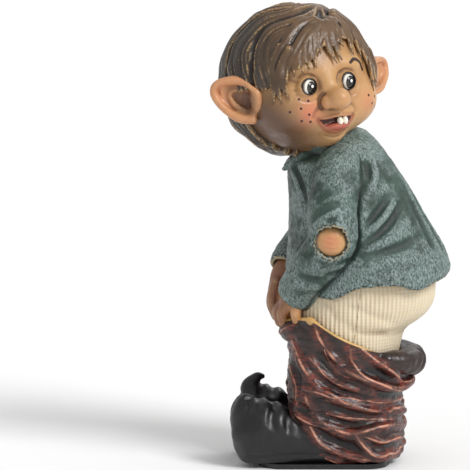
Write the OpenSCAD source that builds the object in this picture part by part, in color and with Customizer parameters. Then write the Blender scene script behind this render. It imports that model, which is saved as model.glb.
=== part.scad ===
// Garden gnome: a hollow cast-resin figure, glued up from separate castings and painted.
// The figure looks over its left shoulder and holds up its dropped breeches with both hands.
//
// Frame: origin on the ground below the middle of the figure, +Z up.
// The shown side faces -Y, and the body faces -X.

/* [Figure] */
// Height from the ground to the top of the hair
figure_h = 168; // [140:1:200]
// Turn of the face about the upright axis, away from the shown side
head_turn = 28; // [10:1:35]
// Sideways tilt of the head
head_tilt = 5; // [4:1:16]

/* [Castings] */
// Wall of the hollow castings
wall = 3.6; // [3:0.1:4.2]
// Glue gap around spigots and pins
glue_gap = 0.2; // [0.1:0.05:0.3]
// Diameter of the neck spigot
spigot_d = 13; // [11:0.5:14]
// Diameter of the pins that hold the arms and shoes
pin_d = 4; // [3:0.5:4]

/* [Base] */
// Thickness of the base plate
plate_t = 1.8; // [1.5:0.1:3]
// Diameter of the vent hole in the underside
vent_d = 5; // [4:0.5:6]

/* [Detail] */
// Points around each lofted section
ring_points = 32; // [24:4:40]
// Sections between two key sections of an outer skin
ring_steps = 2; // [1:1:3]
// Height of the folds in the breeches
fold_h = 1.2; // [0:0.1:1.8]
// Depth of the waves in the tunic's lower part
wave_h = 0.8; // [0:0.1:1.2]
// Depth of the grooves between the locks of hair
lock_h = 0.7; // [0:0.1:1]

/* [Hidden] */

skin = "burlywood";
brown = "saddlebrown";
green = "darkslategray";
cream = "antiquewhite";
rust = "brown";
black = "dimgray";

// All positions below are for a figure 168 high, and u scales them.
u = figure_h / 168;
far = 100 * u;

// Head
head_pos = [-12.6, -1, 139.8] * u;
hair_r = 28.8 * u;
skull_r = 25.6 * u;
skull_rise = 1 * u;
head_wall = wall * 1.2;
eye_pos = [8, -23.9, -0.1] * u;
// The eyes sit a little to one side of the nose.
eye_shift = -1.2 * u;
eye_r = 3.3 * u;
// Open smile, a little to one side: the arc of its lower lip and the height of its straight upper edge
mouth_pos = [1.2, -25, -10] * u;
mouth_r = 7 * u;
lip_z = -12.8 * u;
tooth_pos = [3.2, -26, -14] * u;
tooth = [1.9, 1.8, 2.4] * u;
// Tilt of the crown, where the locks of hair meet, and their number
crown_tilt = 28;
lock_count = 11;
// Edge of the hair around the face, seen from the front of the face
face_opening = [
    [-27, -34], [-27, -10], [-23, -4.5], [-19.5, -5.5], [-18.2, 4], [-14, 5.3], [-9.6, 8.2],
    [-8, 5.6], [-5.8, 7.4], [-2, 10.8], [1, 11], [2.5, 7.4], [4.4, 10], [7.2, 14], [10.5, 12.2],
    [15.5, 11.6], [18.2, 8], [18.6, -4], [21.5, -6], [27, -12], [27, -34]
] * u;
// Rim of the cup-shaped ear, from its upper root round to the lobe. The left ear is smaller.
ear_rim = [
    [23.6, -11, 0.4], [25.6, -8.5, 2.4], [28.8, -6, 3.4], [32, -3, 3.2], [34, -1.2, 1.6], [34.5, -1.1, -1.2],
    [33.6, -3, -4.6], [31.1, -5.5, -8], [28.2, -8, -10.2], [24.8, -10.5, -11.2]
] * u;
ear_edge_r = 1.4 * u;
ear_well = [24, -10.5, -4.4] * u;
ear_left_scale = [1.05, 0.9, 0.76];
ear_left_rise = 0.8 * u;

// Neck joint between the hollow of the head and the hollow of the tunic
neck_top = [-8.5, -1, 126] * u;
neck_end = [3.5, 0, 104] * u;

// Sections of the body castings: height, front, back and half width
tunic_keys = [
    [56, -17, 40.6, 25.5], [66, -17.4, 42.5, 26.5], [72, -16.8, 43, 26.4], [80, -15.8, 40, 25.4],
    [90, -15.2, 34.2, 23.4], [100, -15.4, 28.8, 21.2], [108, -15.6, 23.8, 18.6],
    [114, -15, 19.6, 16], [119, -12, 15.6, 12.8], [122.5, -6.5, 11, 8]
] * u;
drawers_keys = [
    [30, -9, 22, 17.5], [38, -11, 24.4, 20], [45, -12.6, 26, 21.2], [49.5, -13.8, 27.6, 21.8],
    [53, -14.6, 33.2, 22.2], [57, -14.8, 36.8, 22.6], [62, -14.6, 38.2, 22.8], [68, -13.8, 38, 22.6],
    [78, -12, 35.6, 21]
] * u;
breeches_keys = [
    [0, -14, 21, 19.5], [3, -14.6, 26, 22], [9, -14.6, 28.8, 24], [14, -13.8, 28.4, 23.6],
    [20, -13, 27.2, 23.2], [26, -12.8, 28.2, 24], [32, -13.2, 31.4, 25], [38, -14.2, 31, 24.4],
    [45, -15.8, 29.6, 23.4], [56, -17.6, 28.6, 22]
] * u;
// The legs side by side fill out the corners of the breeches' sections.
breeches_power = 0.8;
// Folds of the breeches: their spacing, and how much higher they sit at the front
fold_pitch = 9.6 * u;
fold_drop = 12 * u;
wave_count = 7;
// Slanted edges of the castings: a point on the edge and its slope towards +X
tunic_hem = [[12, 0, 66] * u, 8];
waist_edge = [[6, 0, 48] * u, -15];
breeches_front = [[-4, 0, 11] * u, -48];
breeches_floor = 14 * u;

// Arms: centre and radius at shoulder, elbow and cuff, for the shown side
arm_left = [[1, -18.5, 106.5, 8.6], [-0.6, -22.5, 95, 9], [0, -23.6, 84, 9], [-10.5, -13.5, 67.5, 7.6]] * u;
arm_right = [[0, 18.5, 106.5, 8.6], [-3, 23.8, 95, 8.8], [-3, 23.6, 85, 8.6], [-14, 9.5, 74.5, 6.4]] * u;
hole_pos = [-0.4, -32, 84.5] * u;
hole_r = 5.8 * u;
hole_depth = 4.4 * u;
hand_left_spots = [[-13.2, -9.4, 62, 5], [-15.6, -5.6, 55.5, 3.8], [-16.4, -3, 50, 2.6]] * u;
hand_right_spots = [[-16.4, 6.6, 69.5, 4.4], [-18.6, 4.6, 62, 4], [-17.8, 2.6, 53, 2.8]] * u;

// Shoes: centre and radius from heel to curled toe, for the shown side
shoe_y = 12.2 * u;
shoe_spots = [[11, 0, 8.2, 8.4], [-6, 0, 9, 9.2], [-25, 0, 12.4, 11.6]] * u;
toe_spots = [[-27, 0, 18, 6.6], [-29.6, 0, 23, 3], [-27.8, 0, 25.4, 2]] * u;
ankle_spots = [[-3, 0, 14, 7.4], [-7, 0, 23, 4.8]] * u;
sole_r = 8.6 * u;
sole_ends = [[-17.5, -shoe_y], [12, -shoe_y]];
vent_x = 8 * u;

// Catmull-Rom value from b to c as t goes from 0 to 1
function curve(a, b, c, d, t) =
    b + (c - a) * t / 2 + (2 * a - 5 * b + 4 * c - d) * t * t / 2 + (3 * b - a - 3 * c + d) * t * t * t / 2;

// Smooth rows through the key rows
function smooth(keys, steps) = [
    for (i = [0:len(keys) - 2])
        for (j = [0:steps - 1])
            curve(keys[max(i - 1, 0)], keys[i], keys[i + 1], keys[min(i + 2, len(keys) - 1)], j / steps),
    keys[len(keys) - 1]
];

// Key rows moved inwards by a wall
function inset(keys, t) = [for (k = keys) [k[0], k[1] + t, k[2] - t, k[3] - t]];

// Outward shift of a point on a section: slanting folds, and upright waves that grow downwards
function fold(z, a) = cos(360 * (z - fold_drop * pow((1 - cos(a)) / 2, 2)) / fold_pitch + 40 * sin(a));
function wave(z, a) = cos(wave_count * a) * max(0, 1 - (z - 60 * u) / (36 * u));

// Power of a sine or cosine that keeps its sign: below 1 it fills the corners of an ellipse
function full(value, power) = sign(value) * pow(abs(value), power);

function ring(row, folds, waves, power) = [
    for (i = [0:ring_points - 1])
        let (a = 360 * i / ring_points, out = folds * fold(row[0], a) + waves * wave(row[0], a))
        [
            (row[1] + row[2]) / 2 + ((row[2] - row[1]) / 2 + out) * full(cos(a), power),
            (row[3] + out) * full(sin(a), power),
            row[0]
        ]
];

// A sculpted form is carried as one triangulated skin.
module sculpted() {
    resize([0, 0, 0]) children();
}

// Closed skin over rings of points that rise from first to last
module skin_over(rings) {
    n = len(rings[0]);
    last = len(rings) - 1;
    sides = [
        for (k = [0:last - 1])
            for (i = [0:n - 1])
                let (j = (i + 1) % n)
                [k * n + i, (k + 1) * n + i, (k + 1) * n + j, k * n + j]
    ];
    floor_face = [for (i = [0:n - 1]) i];
    top_face = [for (i = [n - 1:-1:0]) last * n + i];
    polyhedron([for (r = rings) each r], concat([floor_face, top_face], sides));
}

// Solid through horizontal elliptical sections
module loft(keys, steps = 1, folds = 0, waves = 0, power = 1) {
    skin_over([for (row = smooth(keys, steps)) ring(row, folds, waves, power)]);
}

// Everything above a slanted edge, given by a point and a slope
module above(edge) {
    translate(edge[0]) rotate([0, -edge[1], 0]) translate([-far, -far, 0]) cube(2 * far);
}

module ball(spot, grow = 0, sides = 20) {
    translate([spot[0], spot[1], spot[2]]) sphere(spot[3] + grow, $fn = sides);
}

// Rounded limb through a row of balls
module limb(spots, grow = 0, sides = 20) {
    for (i = [0:len(spots) - 2])
        hull() {
            ball(spots[i], grow, sides);
            ball(spots[i + 1], grow, sides);
        }
}

module rod(from, to, r) {
    span = to - from;
    translate(from)
        rotate([0, acos(span[2] / norm(span)), atan2(span[1], span[0])])
            cylinder(r = r, h = norm(span), $fn = 32);
}

// Places a form that is drawn with the face looking along -Y
module head_frame() {
    translate(head_pos) rotate([0, -head_tilt, 0]) rotate([0, 0, head_turn]) children();
}

module blob(at, size, sides = 28) {
    translate(at * u) scale(size * u) sphere(1, $fn = sides);
}

// ---- Head -----------------------------------------------------------------

module head_form() {
    head_frame() {
        translate([0, 0, skull_rise]) sphere(skull_r, $fn = 32);
        hull() {
            blob([0, -4.6, -4], [24, 21.2, 19.6], 28);
            for (side = [-1, 1]) blob([side * 13, -15, -8], [9.2, 9.2, 8.6], 16);
            blob([0, -17.5, -13], [9.5, 9.3, 7.6], 20);
            blob([0.5, -15.4, -17.4], [7.2, 7, 5.8], 16);
        }
        blob([0.6, -28.8, -5.6], [4.3, 4.6, 4.1], 20);
        for (side = [-1, 1]) blob([0.6 + side * 3.4, -27, -6.3], [2.3, 2.8, 2.4], 16);
        blob([0, -25.4, -0.5], [2.4, 2.6, 6], 16);
    }
}

module mouth() {
    translate(mouth_pos) rotate([90, 0, 0]) linear_extrude(far) difference() {
        circle(mouth_r, $fn = 36);
        translate([-far, lip_z - mouth_pos[2]]) square(2 * far);
    }
}

module neck_bore() {
    rod(neck_top, neck_end, spigot_d / 2 + glue_gap);
}

module eye_ball(side) {
    translate([eye_shift + side * eye_pos[0], eye_pos[1], eye_pos[2]]) sphere(eye_r, $fn = 24);
}

module teeth() {
    for (side = [-1, 1])
        translate(tooth_pos + [side * (tooth[0] / 2 + 0.1 * u), 0, 0]) cube(tooth, center = true);
}

module head_shell() {
    color(skin) sculpted() difference() {
        head_form();
        head_frame() {
            translate([0, 0, skull_rise]) sphere(skull_r - head_wall, $fn = 24);
            eye_ball(-1);
            eye_ball(1);
            teeth();
            mouth();
        }
        neck_bore();
    }
}

// Ball of hair with shallow grooves that run down from the crown
module hair_form() {
    head_frame() rotate([0, crown_tilt, 0]) skin_over([
        for (t = [4:8:180])
            [
                for (i = [0:lock_count * 4 - 1])
                    let (a = 90 * i / lock_count, r = (hair_r + lock_h * cos(lock_count * a)) * sin(t))
                    [r * cos(a), r * sin(a), -hair_r * cos(t)]
            ]
    ]);
}

module hair_cap() {
    color(brown) sculpted() difference() {
        hair_form();
        head_form();
        head_frame() rotate([90, 0, 0]) linear_extrude(far) polygon(face_opening);
        ear_form(1);
        ear_form(-1);
        neck_bore();
    }
}

// Cup-shaped ear: its rim hulled to a well beside the head, and hollowed from the front
module ear_place(side) {
    head_frame()
        translate([0, 0, side < 0 ? 0 : ear_left_rise])
            scale(side < 0 ? [-1, 1, 1] : ear_left_scale)
                children();
}

module ear_form(side) {
    ear_place(side)
        hull() {
            for (p = ear_rim) translate(p) sphere(ear_edge_r, $fn = 12);
            translate(ear_well + [0, 5, 0] * u) sphere(3 * u, $fn = 16);
        }
}

module ear_hollow(side) {
    out = [-1.8, -4.6, 0] * u;
    ear_place(side)
        hull() {
            for (p = ear_rim)
                translate(p + (ear_well - p) * 0.16 + out) sphere(1.6 * u, $fn = 12);
            translate(ear_well + [4, 3, 0] * u) sphere(2 * u, $fn = 12);
        }
}

module ear(side) {
    color(skin) sculpted() difference() {
        ear_form(side);
        ear_hollow(side);
        head_form();
    }
}

module eye(side) {
    color("white") head_frame() eye_ball(side);
}

module front_teeth() {
    color("white") head_frame() teeth();
}

module neck_spigot() {
    color(skin) rod(neck_top + [0.2, 0, -0.4] * u, neck_end, spigot_d / 2);
}

// ---- Tunic and arms -------------------------------------------------------

module tunic_form() {
    intersection() {
        loft(tunic_keys, ring_steps, 0, wave_h);
        above(tunic_hem);
    }
}

module arm_bores() {
    for (side = [-1, 1]) rod([1, side * 14, 103] * u, [0, side * 24, 104.5] * u, pin_d / 2 + glue_gap);
}

module tunic_shell() {
    color(green) sculpted() difference() {
        tunic_form();
        intersection() {
            loft(inset(tunic_keys, wall));
            translate([-far, -far, 0]) cube([2 * far, 2 * far, 116 * u]);
        }
        head_form();
        hair_form();
        neck_bore();
        arm_bores();
    }
}

module elbow_hole() {
    translate(hole_pos) rotate([-90, 0, 0]) cylinder(r = hole_r, h = hole_depth, $fn = 28);
}

module sleeve_left() {
    color(green) sculpted() difference() {
        limb(arm_left);
        tunic_form();
        head_form();
        hair_form();
        elbow_hole();
        arm_bores();
        limb(hand_left_spots, glue_gap);
    }
}

module sleeve_right() {
    color(green) sculpted() difference() {
        limb(arm_right);
        tunic_form();
        head_form();
        hair_form();
        arm_bores();
        limb(hand_right_spots, glue_gap);
    }
}

// Bare elbow that shows in the worn hole
module elbow_left() {
    color(skin) sculpted() intersection() {
        translate(hole_pos) rotate([-90, 0, 0]) cylinder(r = hole_r - 0.5 * u, h = hole_depth, $fn = 28);
        ball(arm_left[2], 0.2 * u, 40);
    }
}

module arm_pins() {
    color("silver")
        for (side = [-1, 1]) rod([1, side * 14.2, 103] * u, [0, side * 23.6, 104.4] * u, pin_d / 2);
}

module hand(spots, others) {
    color(skin) sculpted() difference() {
        limb(spots, 0, 16);
        drawers_form();
        tunic_form();
        breeches_form();
        children();
    }
}

module hand_left() {
    hand(hand_left_spots);
}

module hand_right() {
    hand(hand_right_spots) limb(hand_left_spots, glue_gap);
}

// ---- Hips and legs --------------------------------------------------------

module drawers_form() {
    loft(drawers_keys, ring_steps);
}

// Tube casting: its top plugs into the tunic, and its foot into the breeches
module drawers_shell() {
    color(cream) sculpted() difference() {
        drawers_form();
        loft(inset(concat([[28, -9, 22, 17.5] * u], drawers_keys, [[80, -11, 34, 20] * u]), wall));
        difference() {
            tunic_form();
            loft(inset(tunic_keys, wall + glue_gap));
        }
        limb(arm_left, glue_gap);
        limb(arm_right, glue_gap);
    }
}

module breeches_form() {
    difference() {
        loft(breeches_keys, ring_steps + 1, fold_h, power = breeches_power);
        above(waist_edge);
        translate([-far, -far, -far]) cube([2 * far, 2 * far, far + plate_t]);
        difference() {
            translate([-far, -far, -1]) cube([2 * far, 2 * far, 40 * u]);
            above(breeches_front);
        }
    }
}

module breeches_shell() {
    color(rust) sculpted() difference() {
        breeches_form();
        drawers_form();
        intersection() {
            loft(inset(breeches_keys, wall), power = breeches_power);
            translate([-8 * u, -far, breeches_floor]) cube([2 * far, 2 * far, far]);
        }
        for (side = [-1, 1]) shoe_form(side, glue_gap);
        translate([vent_x, 0, 0]) cylinder(r = vent_d / 2 + glue_gap, h = far / 2, $fn = 28);
        shoe_bores();
    }
}

// ---- Shoes and base -------------------------------------------------------

module shoe_form(side, grow = 0) {
    intersection() {
        translate([0, side * shoe_y, 0]) {
            limb(shoe_spots, grow, 24);
            limb(toe_spots, grow, 16);
            limb(ankle_spots, grow, 20);
        }
        translate([-far, -far, plate_t]) cube(2 * far);
        translate([-far, side < 0 ? -far : 0.3 * u, 0]) cube([2 * far, far - 0.3 * u, far]);
    }
}

module shoe_bores() {
    for (side = [-1, 1])
        translate([9 * u, side * shoe_y, 9 * u]) cylinder(r = pin_d / 2 + glue_gap, h = 14 * u, $fn = 24);
}

module shoe(side) {
    color(black) sculpted() difference() {
        shoe_form(side);
        shoe_bores();
    }
}

module shoe_pins() {
    color("silver")
        for (side = [-1, 1])
            translate([9 * u, side * shoe_y, 9.2 * u]) cylinder(d = pin_d, h = 11 * u, $fn = 24);
}

module base_outline() {
    for (side = [-1, 1])
        hull()
            for (p = sole_ends) translate([p[0], side * p[1]]) circle(sole_r, $fn = 40);
    translate([2 * u, 0]) square([38 * u, 2 * shoe_y], center = true);
}

module base_plate() {
    color(black) difference() {
        linear_extrude(plate_t) base_outline();
        translate([vent_x, 0, -1]) cylinder(d = vent_d + 2 * glue_gap, h = plate_t + 2, $fn = 28);
    }
}

module vent_plug() {
    color("black") translate([vent_x, 0, 0.4]) cylinder(d = vent_d, h = 10 * u, $fn = 28);
}

head_shell();
hair_cap();
ear(1);  // ear_left
ear(-1);  // ear_right
eye(1);  // eye_left
eye(-1);  // eye_right
front_teeth();
neck_spigot();
tunic_shell();
sleeve_left();
sleeve_right();
elbow_left();
arm_pins();
hand_left();
hand_right();
drawers_shell();
breeches_shell();
shoe(-1);  // shoe_left
shoe(1);  // shoe_right
shoe_pins();
base_plate();
vent_plug();
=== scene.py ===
"""Sculpted and painted looks of the garden gnome, around its packed castings.

Forms are sculpted in millimetres on grids of signed distances, and each grid becomes one mesh.
"""

import math

import bpy
import numpy as np
from mathutils import Matrix, Vector


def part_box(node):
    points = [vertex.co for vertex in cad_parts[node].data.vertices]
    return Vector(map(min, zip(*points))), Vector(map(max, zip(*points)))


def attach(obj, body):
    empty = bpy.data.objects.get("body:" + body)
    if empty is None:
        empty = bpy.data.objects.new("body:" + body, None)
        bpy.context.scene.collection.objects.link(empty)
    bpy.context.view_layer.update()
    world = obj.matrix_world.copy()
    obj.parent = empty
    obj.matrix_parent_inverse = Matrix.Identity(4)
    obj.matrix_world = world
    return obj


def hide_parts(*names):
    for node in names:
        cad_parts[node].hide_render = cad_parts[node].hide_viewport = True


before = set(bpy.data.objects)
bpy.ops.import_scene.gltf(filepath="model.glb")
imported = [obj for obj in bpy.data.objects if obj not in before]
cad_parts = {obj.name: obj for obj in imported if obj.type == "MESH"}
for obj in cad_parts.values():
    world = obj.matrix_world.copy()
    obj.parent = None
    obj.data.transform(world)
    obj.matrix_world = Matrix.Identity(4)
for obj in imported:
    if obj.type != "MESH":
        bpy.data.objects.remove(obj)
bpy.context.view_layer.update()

MM = 0.001
FAR = 60.0
BAND = 2.2  # how far from a surface a press still moves it
PAD = 6.0  # room around a form in which its distances count
AFAR = 9.0  # a distance at which no painted mark shows
# Spacing of each piece's sculpting grid
STEP = {
    "face": 0.4, "ear": 0.3, "teeth": 0.16, "hair": 0.45, "tunic": 0.45, "sleeve": 0.42,
    "elbow": 0.3, "hand": 0.32, "drawers": 0.45, "breeches": 0.44, "shoe": 0.42,
}
TAU = 2 * math.pi
TINY = 1e-9


# ---- Numbers and curves ----------------------------------------------------


def vec(*values):
    return np.array(values, float)


def unit(v):
    return v / np.linalg.norm(v)


def node_box(node):
    """Lowest and highest corner of a CAD node, in millimetres."""
    low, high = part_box(node)
    return np.array(low) / MM, np.array(high) / MM


def node_middle(node):
    low, high = node_box(node)
    return (low + high) / 2


def smooth_step(value, start, end):
    t = np.clip((value - start) / (end - start), 0, 1)
    return t * t * (3 - 2 * t)


def smooth_path(points, pieces=6):
    """Catmull-Rom curve through points of any number of columns."""
    p = np.array(points, float)
    p = np.vstack([2 * p[0] - p[1], p, 2 * p[-1] - p[-2]])
    rows = []
    for i in range(1, len(p) - 2):
        for t in np.linspace(0, 1, pieces, endpoint=False):
            a, b, c, d = p[i - 1 : i + 3]
            square, cube = 2 * a - 5 * b + 4 * c - d, 3 * b - a - 3 * c + d
            rows.append(b + (c - a) * t / 2 + square * t**2 / 2 + cube * t**3 / 2)
    rows.append(p[-2])
    return np.array(rows)


def nearest_on(path, p):
    """Distance from points to a path, and where on it they are nearest, in segments from its start."""
    best, place = np.full(len(p), 1e9), np.zeros(len(p))
    for i, (a, b) in enumerate(zip(path[:-1], path[1:])):
        span = b - a
        t = np.clip((p - a) @ span / (span @ span + TINY), 0, 1)
        gap = np.linalg.norm(p - a - t[:, None] * span, axis=1)
        closer = gap < best
        best = np.where(closer, gap, best)
        place = np.where(closer, i + t, place)
    return best, place


def lattice_noise(p, size, seed):
    """Smooth noise from -1 to 1 at points p."""
    n = 32  # cells before the noise repeats
    grid = np.random.default_rng(seed).uniform(-1, 1, (n, n, n)).astype(np.float32)
    q = p / size
    cell = np.floor(q).astype(int)
    f = q - cell
    f = f * f * (3 - 2 * f)
    total = 0
    for corner in range(8):
        bits = np.array([corner & 1, corner >> 1 & 1, corner >> 2 & 1])
        weight = np.prod(np.where(bits, f, 1 - f), axis=1)
        i, j, k = ((cell + bits) % n).T
        total = total + weight * grid[i, j, k]
    return total


def smooth_min(a, b, blend):
    h = np.clip(0.5 + 0.5 * (b - a) / blend, 0, 1)
    return b + (a - b) * h - blend * h * (1 - h)


# ---- Forms: (lowest corner, highest corner, distance function) ---------------


def ball(at, size, spin=None):
    """Ellipsoid. spin holds its own axes as rows."""
    at = vec(*at)
    r = np.broadcast_to(np.array(size, float), 3)
    reach = np.full(3, r.max()) if spin is not None else r

    def distance(x, y, z):
        d = [x - at[0], y - at[1], z - at[2]]
        if spin is not None:
            d = [row[0] * d[0] + row[1] * d[1] + row[2] * d[2] for row in spin]
        near = np.sqrt((d[0] / r[0]) ** 2 + (d[1] / r[1]) ** 2 + (d[2] / r[2]) ** 2) + 1e-6
        slope = np.sqrt((d[0] / r[0] ** 2) ** 2 + (d[1] / r[1] ** 2) ** 2 + (d[2] / r[2] ** 2) ** 2) + 1e-6
        return near * (near - 1) / slope

    return at - reach, at + reach, distance


def tube(rows, pieces=5):
    """Round limb through rows of x, y, z and radius."""
    path = smooth_path(rows, pieces)
    r = path[:, 3]

    def distance(x, y, z):
        best = None
        for a, b in zip(path[:-1], path[1:]):
            span = b[:3] - a[:3]
            d = [x - a[0], y - a[1], z - a[2]]
            t = np.clip((d[0] * span[0] + d[1] * span[1] + d[2] * span[2]) / (span @ span + 1e-9), 0, 1)
            gap = np.sqrt(sum((d[i] - t * span[i]) ** 2 for i in range(3))) - (a[3] + t * (b[3] - a[3]))
            best = gap if best is None else np.minimum(best, gap)
        return best

    return (path[:, :3] - r[:, None]).min(0), (path[:, :3] + r[:, None]).max(0), distance


def loft(rows):
    """Upright form through rows of height, front, back and half width."""
    rows = np.array(rows, float)

    def distance(x, y, z):
        front, back, half = (np.interp(z, rows[:, 0], rows[:, i]) for i in (1, 2, 3))
        middle, deep = (front + back) / 2, (back - front) / 2
        u, v = x - middle, y
        near = np.sqrt((u / deep) ** 2 + (v / half) ** 2) + 1e-6
        slope = np.sqrt((u / deep**2) ** 2 + (v / half**2) ** 2) + 1e-6
        side = near * (near - 1) / slope
        return np.maximum(side, np.maximum(rows[0, 0] - z, z - rows[-1, 0]))

    low = vec(rows[:, 1].min(), -rows[:, 3].max(), rows[0, 0])
    return low, vec(rows[:, 2].max(), rows[:, 3].max(), rows[-1, 0]), distance


def everywhere(distance):
    """A form without ends."""
    far = np.full(3, FAR * 4)
    return -far, far, distance


def outline_distance(x, z, corners):
    """Signed distance to a closed outline in the x-z plane, negative inside."""
    corners = np.array(corners, float)
    shape = np.broadcast(x, z).shape
    best, inside = np.full(shape, 1e9), np.zeros(shape, bool)
    for a, b in zip(corners, np.roll(corners, -1, 0)):
        span = b - a
        t = np.clip(((x - a[0]) * span[0] + (z - a[1]) * span[1]) / (span @ span), 0, 1)
        best = np.minimum(best, (x - a[0] - t * span[0]) ** 2 + (z - a[1] - t * span[1]) ** 2)
        crosses = (a[1] > z) != (b[1] > z)
        inside ^= crosses & (x < a[0] + span[0] * (z - a[1]) / (span[1] + 1e-9))
    return np.where(inside, -1, 1) * np.sqrt(best)


# ---- The sculpting grid ------------------------------------------------------


class Sculpt:
    """A grid of signed distances, negative inside the form."""

    def __init__(self, low, high, step):
        self.low, self.step = np.array(low, float), step
        self.count = np.ceil((np.array(high, float) - self.low) / step).astype(int) + 1
        self.field = np.full(self.count, FAR, np.float32)

    def window(self, low, high):
        a = np.clip(np.floor((low - self.low) / self.step).astype(int), 0, self.count - 1)
        b = np.clip(np.ceil((high - self.low) / self.step).astype(int) + 1, 1, self.count)
        axes = [(self.low[i] + self.step * np.arange(a[i], b[i])).astype(np.float32) for i in range(3)]
        return tuple(slice(p, q) for p, q in zip(a, b)), np.meshgrid(*axes, indexing="ij", sparse=True)

    def join(self, form, blend=1.0):
        cut, at = self.window(form[0] - PAD, form[1] + PAD)
        self.field[cut] = smooth_min(self.field[cut], form[2](*at), blend)

    def carve(self, form, blend=0.5):
        cut, at = self.window(form[0] - PAD, form[1] + PAD)
        self.field[cut] = -smooth_min(-self.field[cut], form[2](*at), blend)

    def near(self, low, high, reach=BAND):
        """Window, mask and points of the cells close to the surface."""
        cut, _ = self.window(np.array(low, float), np.array(high, float))
        mask = np.abs(self.field[cut]) < reach
        index = np.argwhere(mask)
        start = np.array([c.start for c in cut])
        return cut, mask, self.low + self.step * (index + start)

    def shift(self, amount, low=None, high=None, reach=BAND):
        """Raises the surface by amount(points), in millimetres."""
        low = self.low if low is None else low
        high = self.low + self.step * self.count if high is None else high
        cut, mask, p = self.near(low, high, reach)
        if len(p):
            self.field[cut][mask] -= amount(p).astype(np.float32)

    def press(self, points, depth, width, sharp=False, fade=0.25):
        """Raises a ridge along a curve, or presses a groove if depth is negative."""
        path = self.snapped(smooth_path(self.snapped(points)))
        lengths = np.r_[0, np.cumsum(np.linalg.norm(np.diff(path, axis=0), axis=1))]
        lengths = lengths / lengths[-1]

        def amount(p):
            best, place = nearest_on(path, p)
            along = np.interp(place, np.arange(len(path)), lengths)
            s = np.clip(1 - best / width, 0, 1)
            s = s**1.6 if sharp else s * s * (3 - 2 * s)
            return depth * s * smooth_step(np.minimum(along, 1 - along), -0.02, fade)

        self.shift(amount, path.min(0) - width, path.max(0) + width, abs(depth) + 1.4)

    def crease(self, line, depth, width, side=-1, **more):
        """A ridge or groove along points given as x and z, on the side that faces -Y (or +Y)."""
        self.press(self.front(line, side), depth, width, **more)

    def roughen(self, size, depth, seed):
        self.shift(lambda p: depth * lattice_noise(p, size, seed))

    def sample(self, field, p):
        """Values of a field at points."""
        q = np.clip((p - self.low) / self.step, 0, self.count - 1.001)
        cell = q.astype(int)
        f = q - cell
        total = 0
        for corner in range(8):
            bits = np.array([corner & 1, corner >> 1 & 1, corner >> 2 & 1])
            i, j, k = (cell + bits).T
            total = total + np.prod(np.where(bits, f, 1 - f), axis=1) * field[i, j, k]
        return total

    def snapped(self, points):
        """Moves points on to the surface along the slope of the field."""
        p = np.array(points, float)[:, :3].copy()
        e = self.step
        for _ in range(5):
            here = self.sample(self.field, p)
            steps = [(p + e * a, p - e * a) for a in np.eye(3)]
            rises = [self.sample(self.field, q) - self.sample(self.field, r) for q, r in steps]
            slope = np.stack(rises, 1) / (2 * e)
            size = np.maximum((slope**2).sum(1), 0.2)
            p -= np.clip(here / size, -3, 3)[:, None] * slope
        return p

    def front(self, points, side=-1):
        """Points of the surface, given as x and z, on the side that faces -Y (or +Y)."""
        found = []
        ys = self.low[1] + self.step * np.arange(self.count[1])
        if side > 0:
            ys = ys[::-1]
        for x, z in points:
            line = np.stack([np.full_like(ys, x), ys, np.full_like(ys, z)], 1)
            inside = self.sample(self.field, line) < 0
            hit = int(np.argmax(inside)) if inside.any() else len(ys) // 2
            found.append((x, ys[hit], z))
        return np.array(found)

    def blurred(self, width):
        """The field near the surface, averaged over a box three times."""
        f = np.clip(self.field, -4, 4).astype(np.float32)
        n = max(1, int(round(width / self.step)))
        for axis in (0, 1, 2) * 2:
            pad = [(0, 0)] * 3
            pad[axis] = (n + 1, n)
            total = np.cumsum(np.pad(f, pad, mode="edge"), axis=axis, dtype=np.float64)
            upper = np.take(total, range(2 * n + 1, total.shape[axis]), axis=axis)
            lower = np.take(total, range(0, total.shape[axis] - 2 * n - 1), axis=axis)
            f = ((upper - lower) / (2 * n + 1)).astype(np.float32)
        return f

    def skin(self):
        """Corners and four-sided faces of the surface (surface nets)."""
        f = self.field.copy()
        for axis in range(3):  # the grid's own walls close the form
            edge = [slice(None)] * 3
            for edge[axis] in (0, -1):
                f[tuple(edge)] = np.maximum(f[tuple(edge)], 0.01)
        inside = f < 0
        shape = self.count - 1
        spots = [np.array([i, j, k]) for i in (0, 1) for j in (0, 1) for k in (0, 1)]
        corners = [inside[tuple(slice(i, i + n) for i, n in zip(spot, shape))] for spot in spots]
        total = sum(c.astype(np.int8) for c in corners)
        mixed = (total > 0) & (total < 8)
        cells = np.argwhere(mixed)
        number = np.full(shape, -1, np.int64)
        number[mixed] = np.arange(len(cells))
        place, hits = np.zeros((len(cells), 3)), np.zeros(len(cells))
        for a in spots:
            for axis in range(3):
                if a[axis]:
                    continue
                b = a.copy()
                b[axis] = 1
                fa, fb = f[tuple((cells + a).T)], f[tuple((cells + b).T)]
                crossed = (fa < 0) != (fb < 0)
                t = np.where(crossed, fa / np.where(crossed, fa - fb, 1), 0)
                place += np.where(crossed[:, None], a + t[:, None] * (b - a), 0)
                hits += crossed
        points = self.low + self.step * (cells + place / hits[:, None])
        faces = []
        for axis in range(3):
            u, v = (axis + 1) % 3, (axis + 2) % 3
            head, tail = [slice(None)] * 3, [slice(None)] * 3
            head[axis], tail[axis] = slice(0, -1), slice(1, None)
            first, second = inside[tuple(head)], inside[tuple(tail)]
            edges = np.argwhere(first != second)
            across = edges[:, [u, v]]
            edges = edges[np.all((across > 0) & (across < shape[[u, v]]), axis=1)]
            leaving = first[tuple(edges.T)]
            ring = []
            for du, dv in ((1, 1), (0, 1), (0, 0), (1, 0)):
                c = edges.copy()
                c[:, u] -= du
                c[:, v] -= dv
                ring.append(number[tuple(c.T)])
            quad = np.stack(ring, 1)
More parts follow.
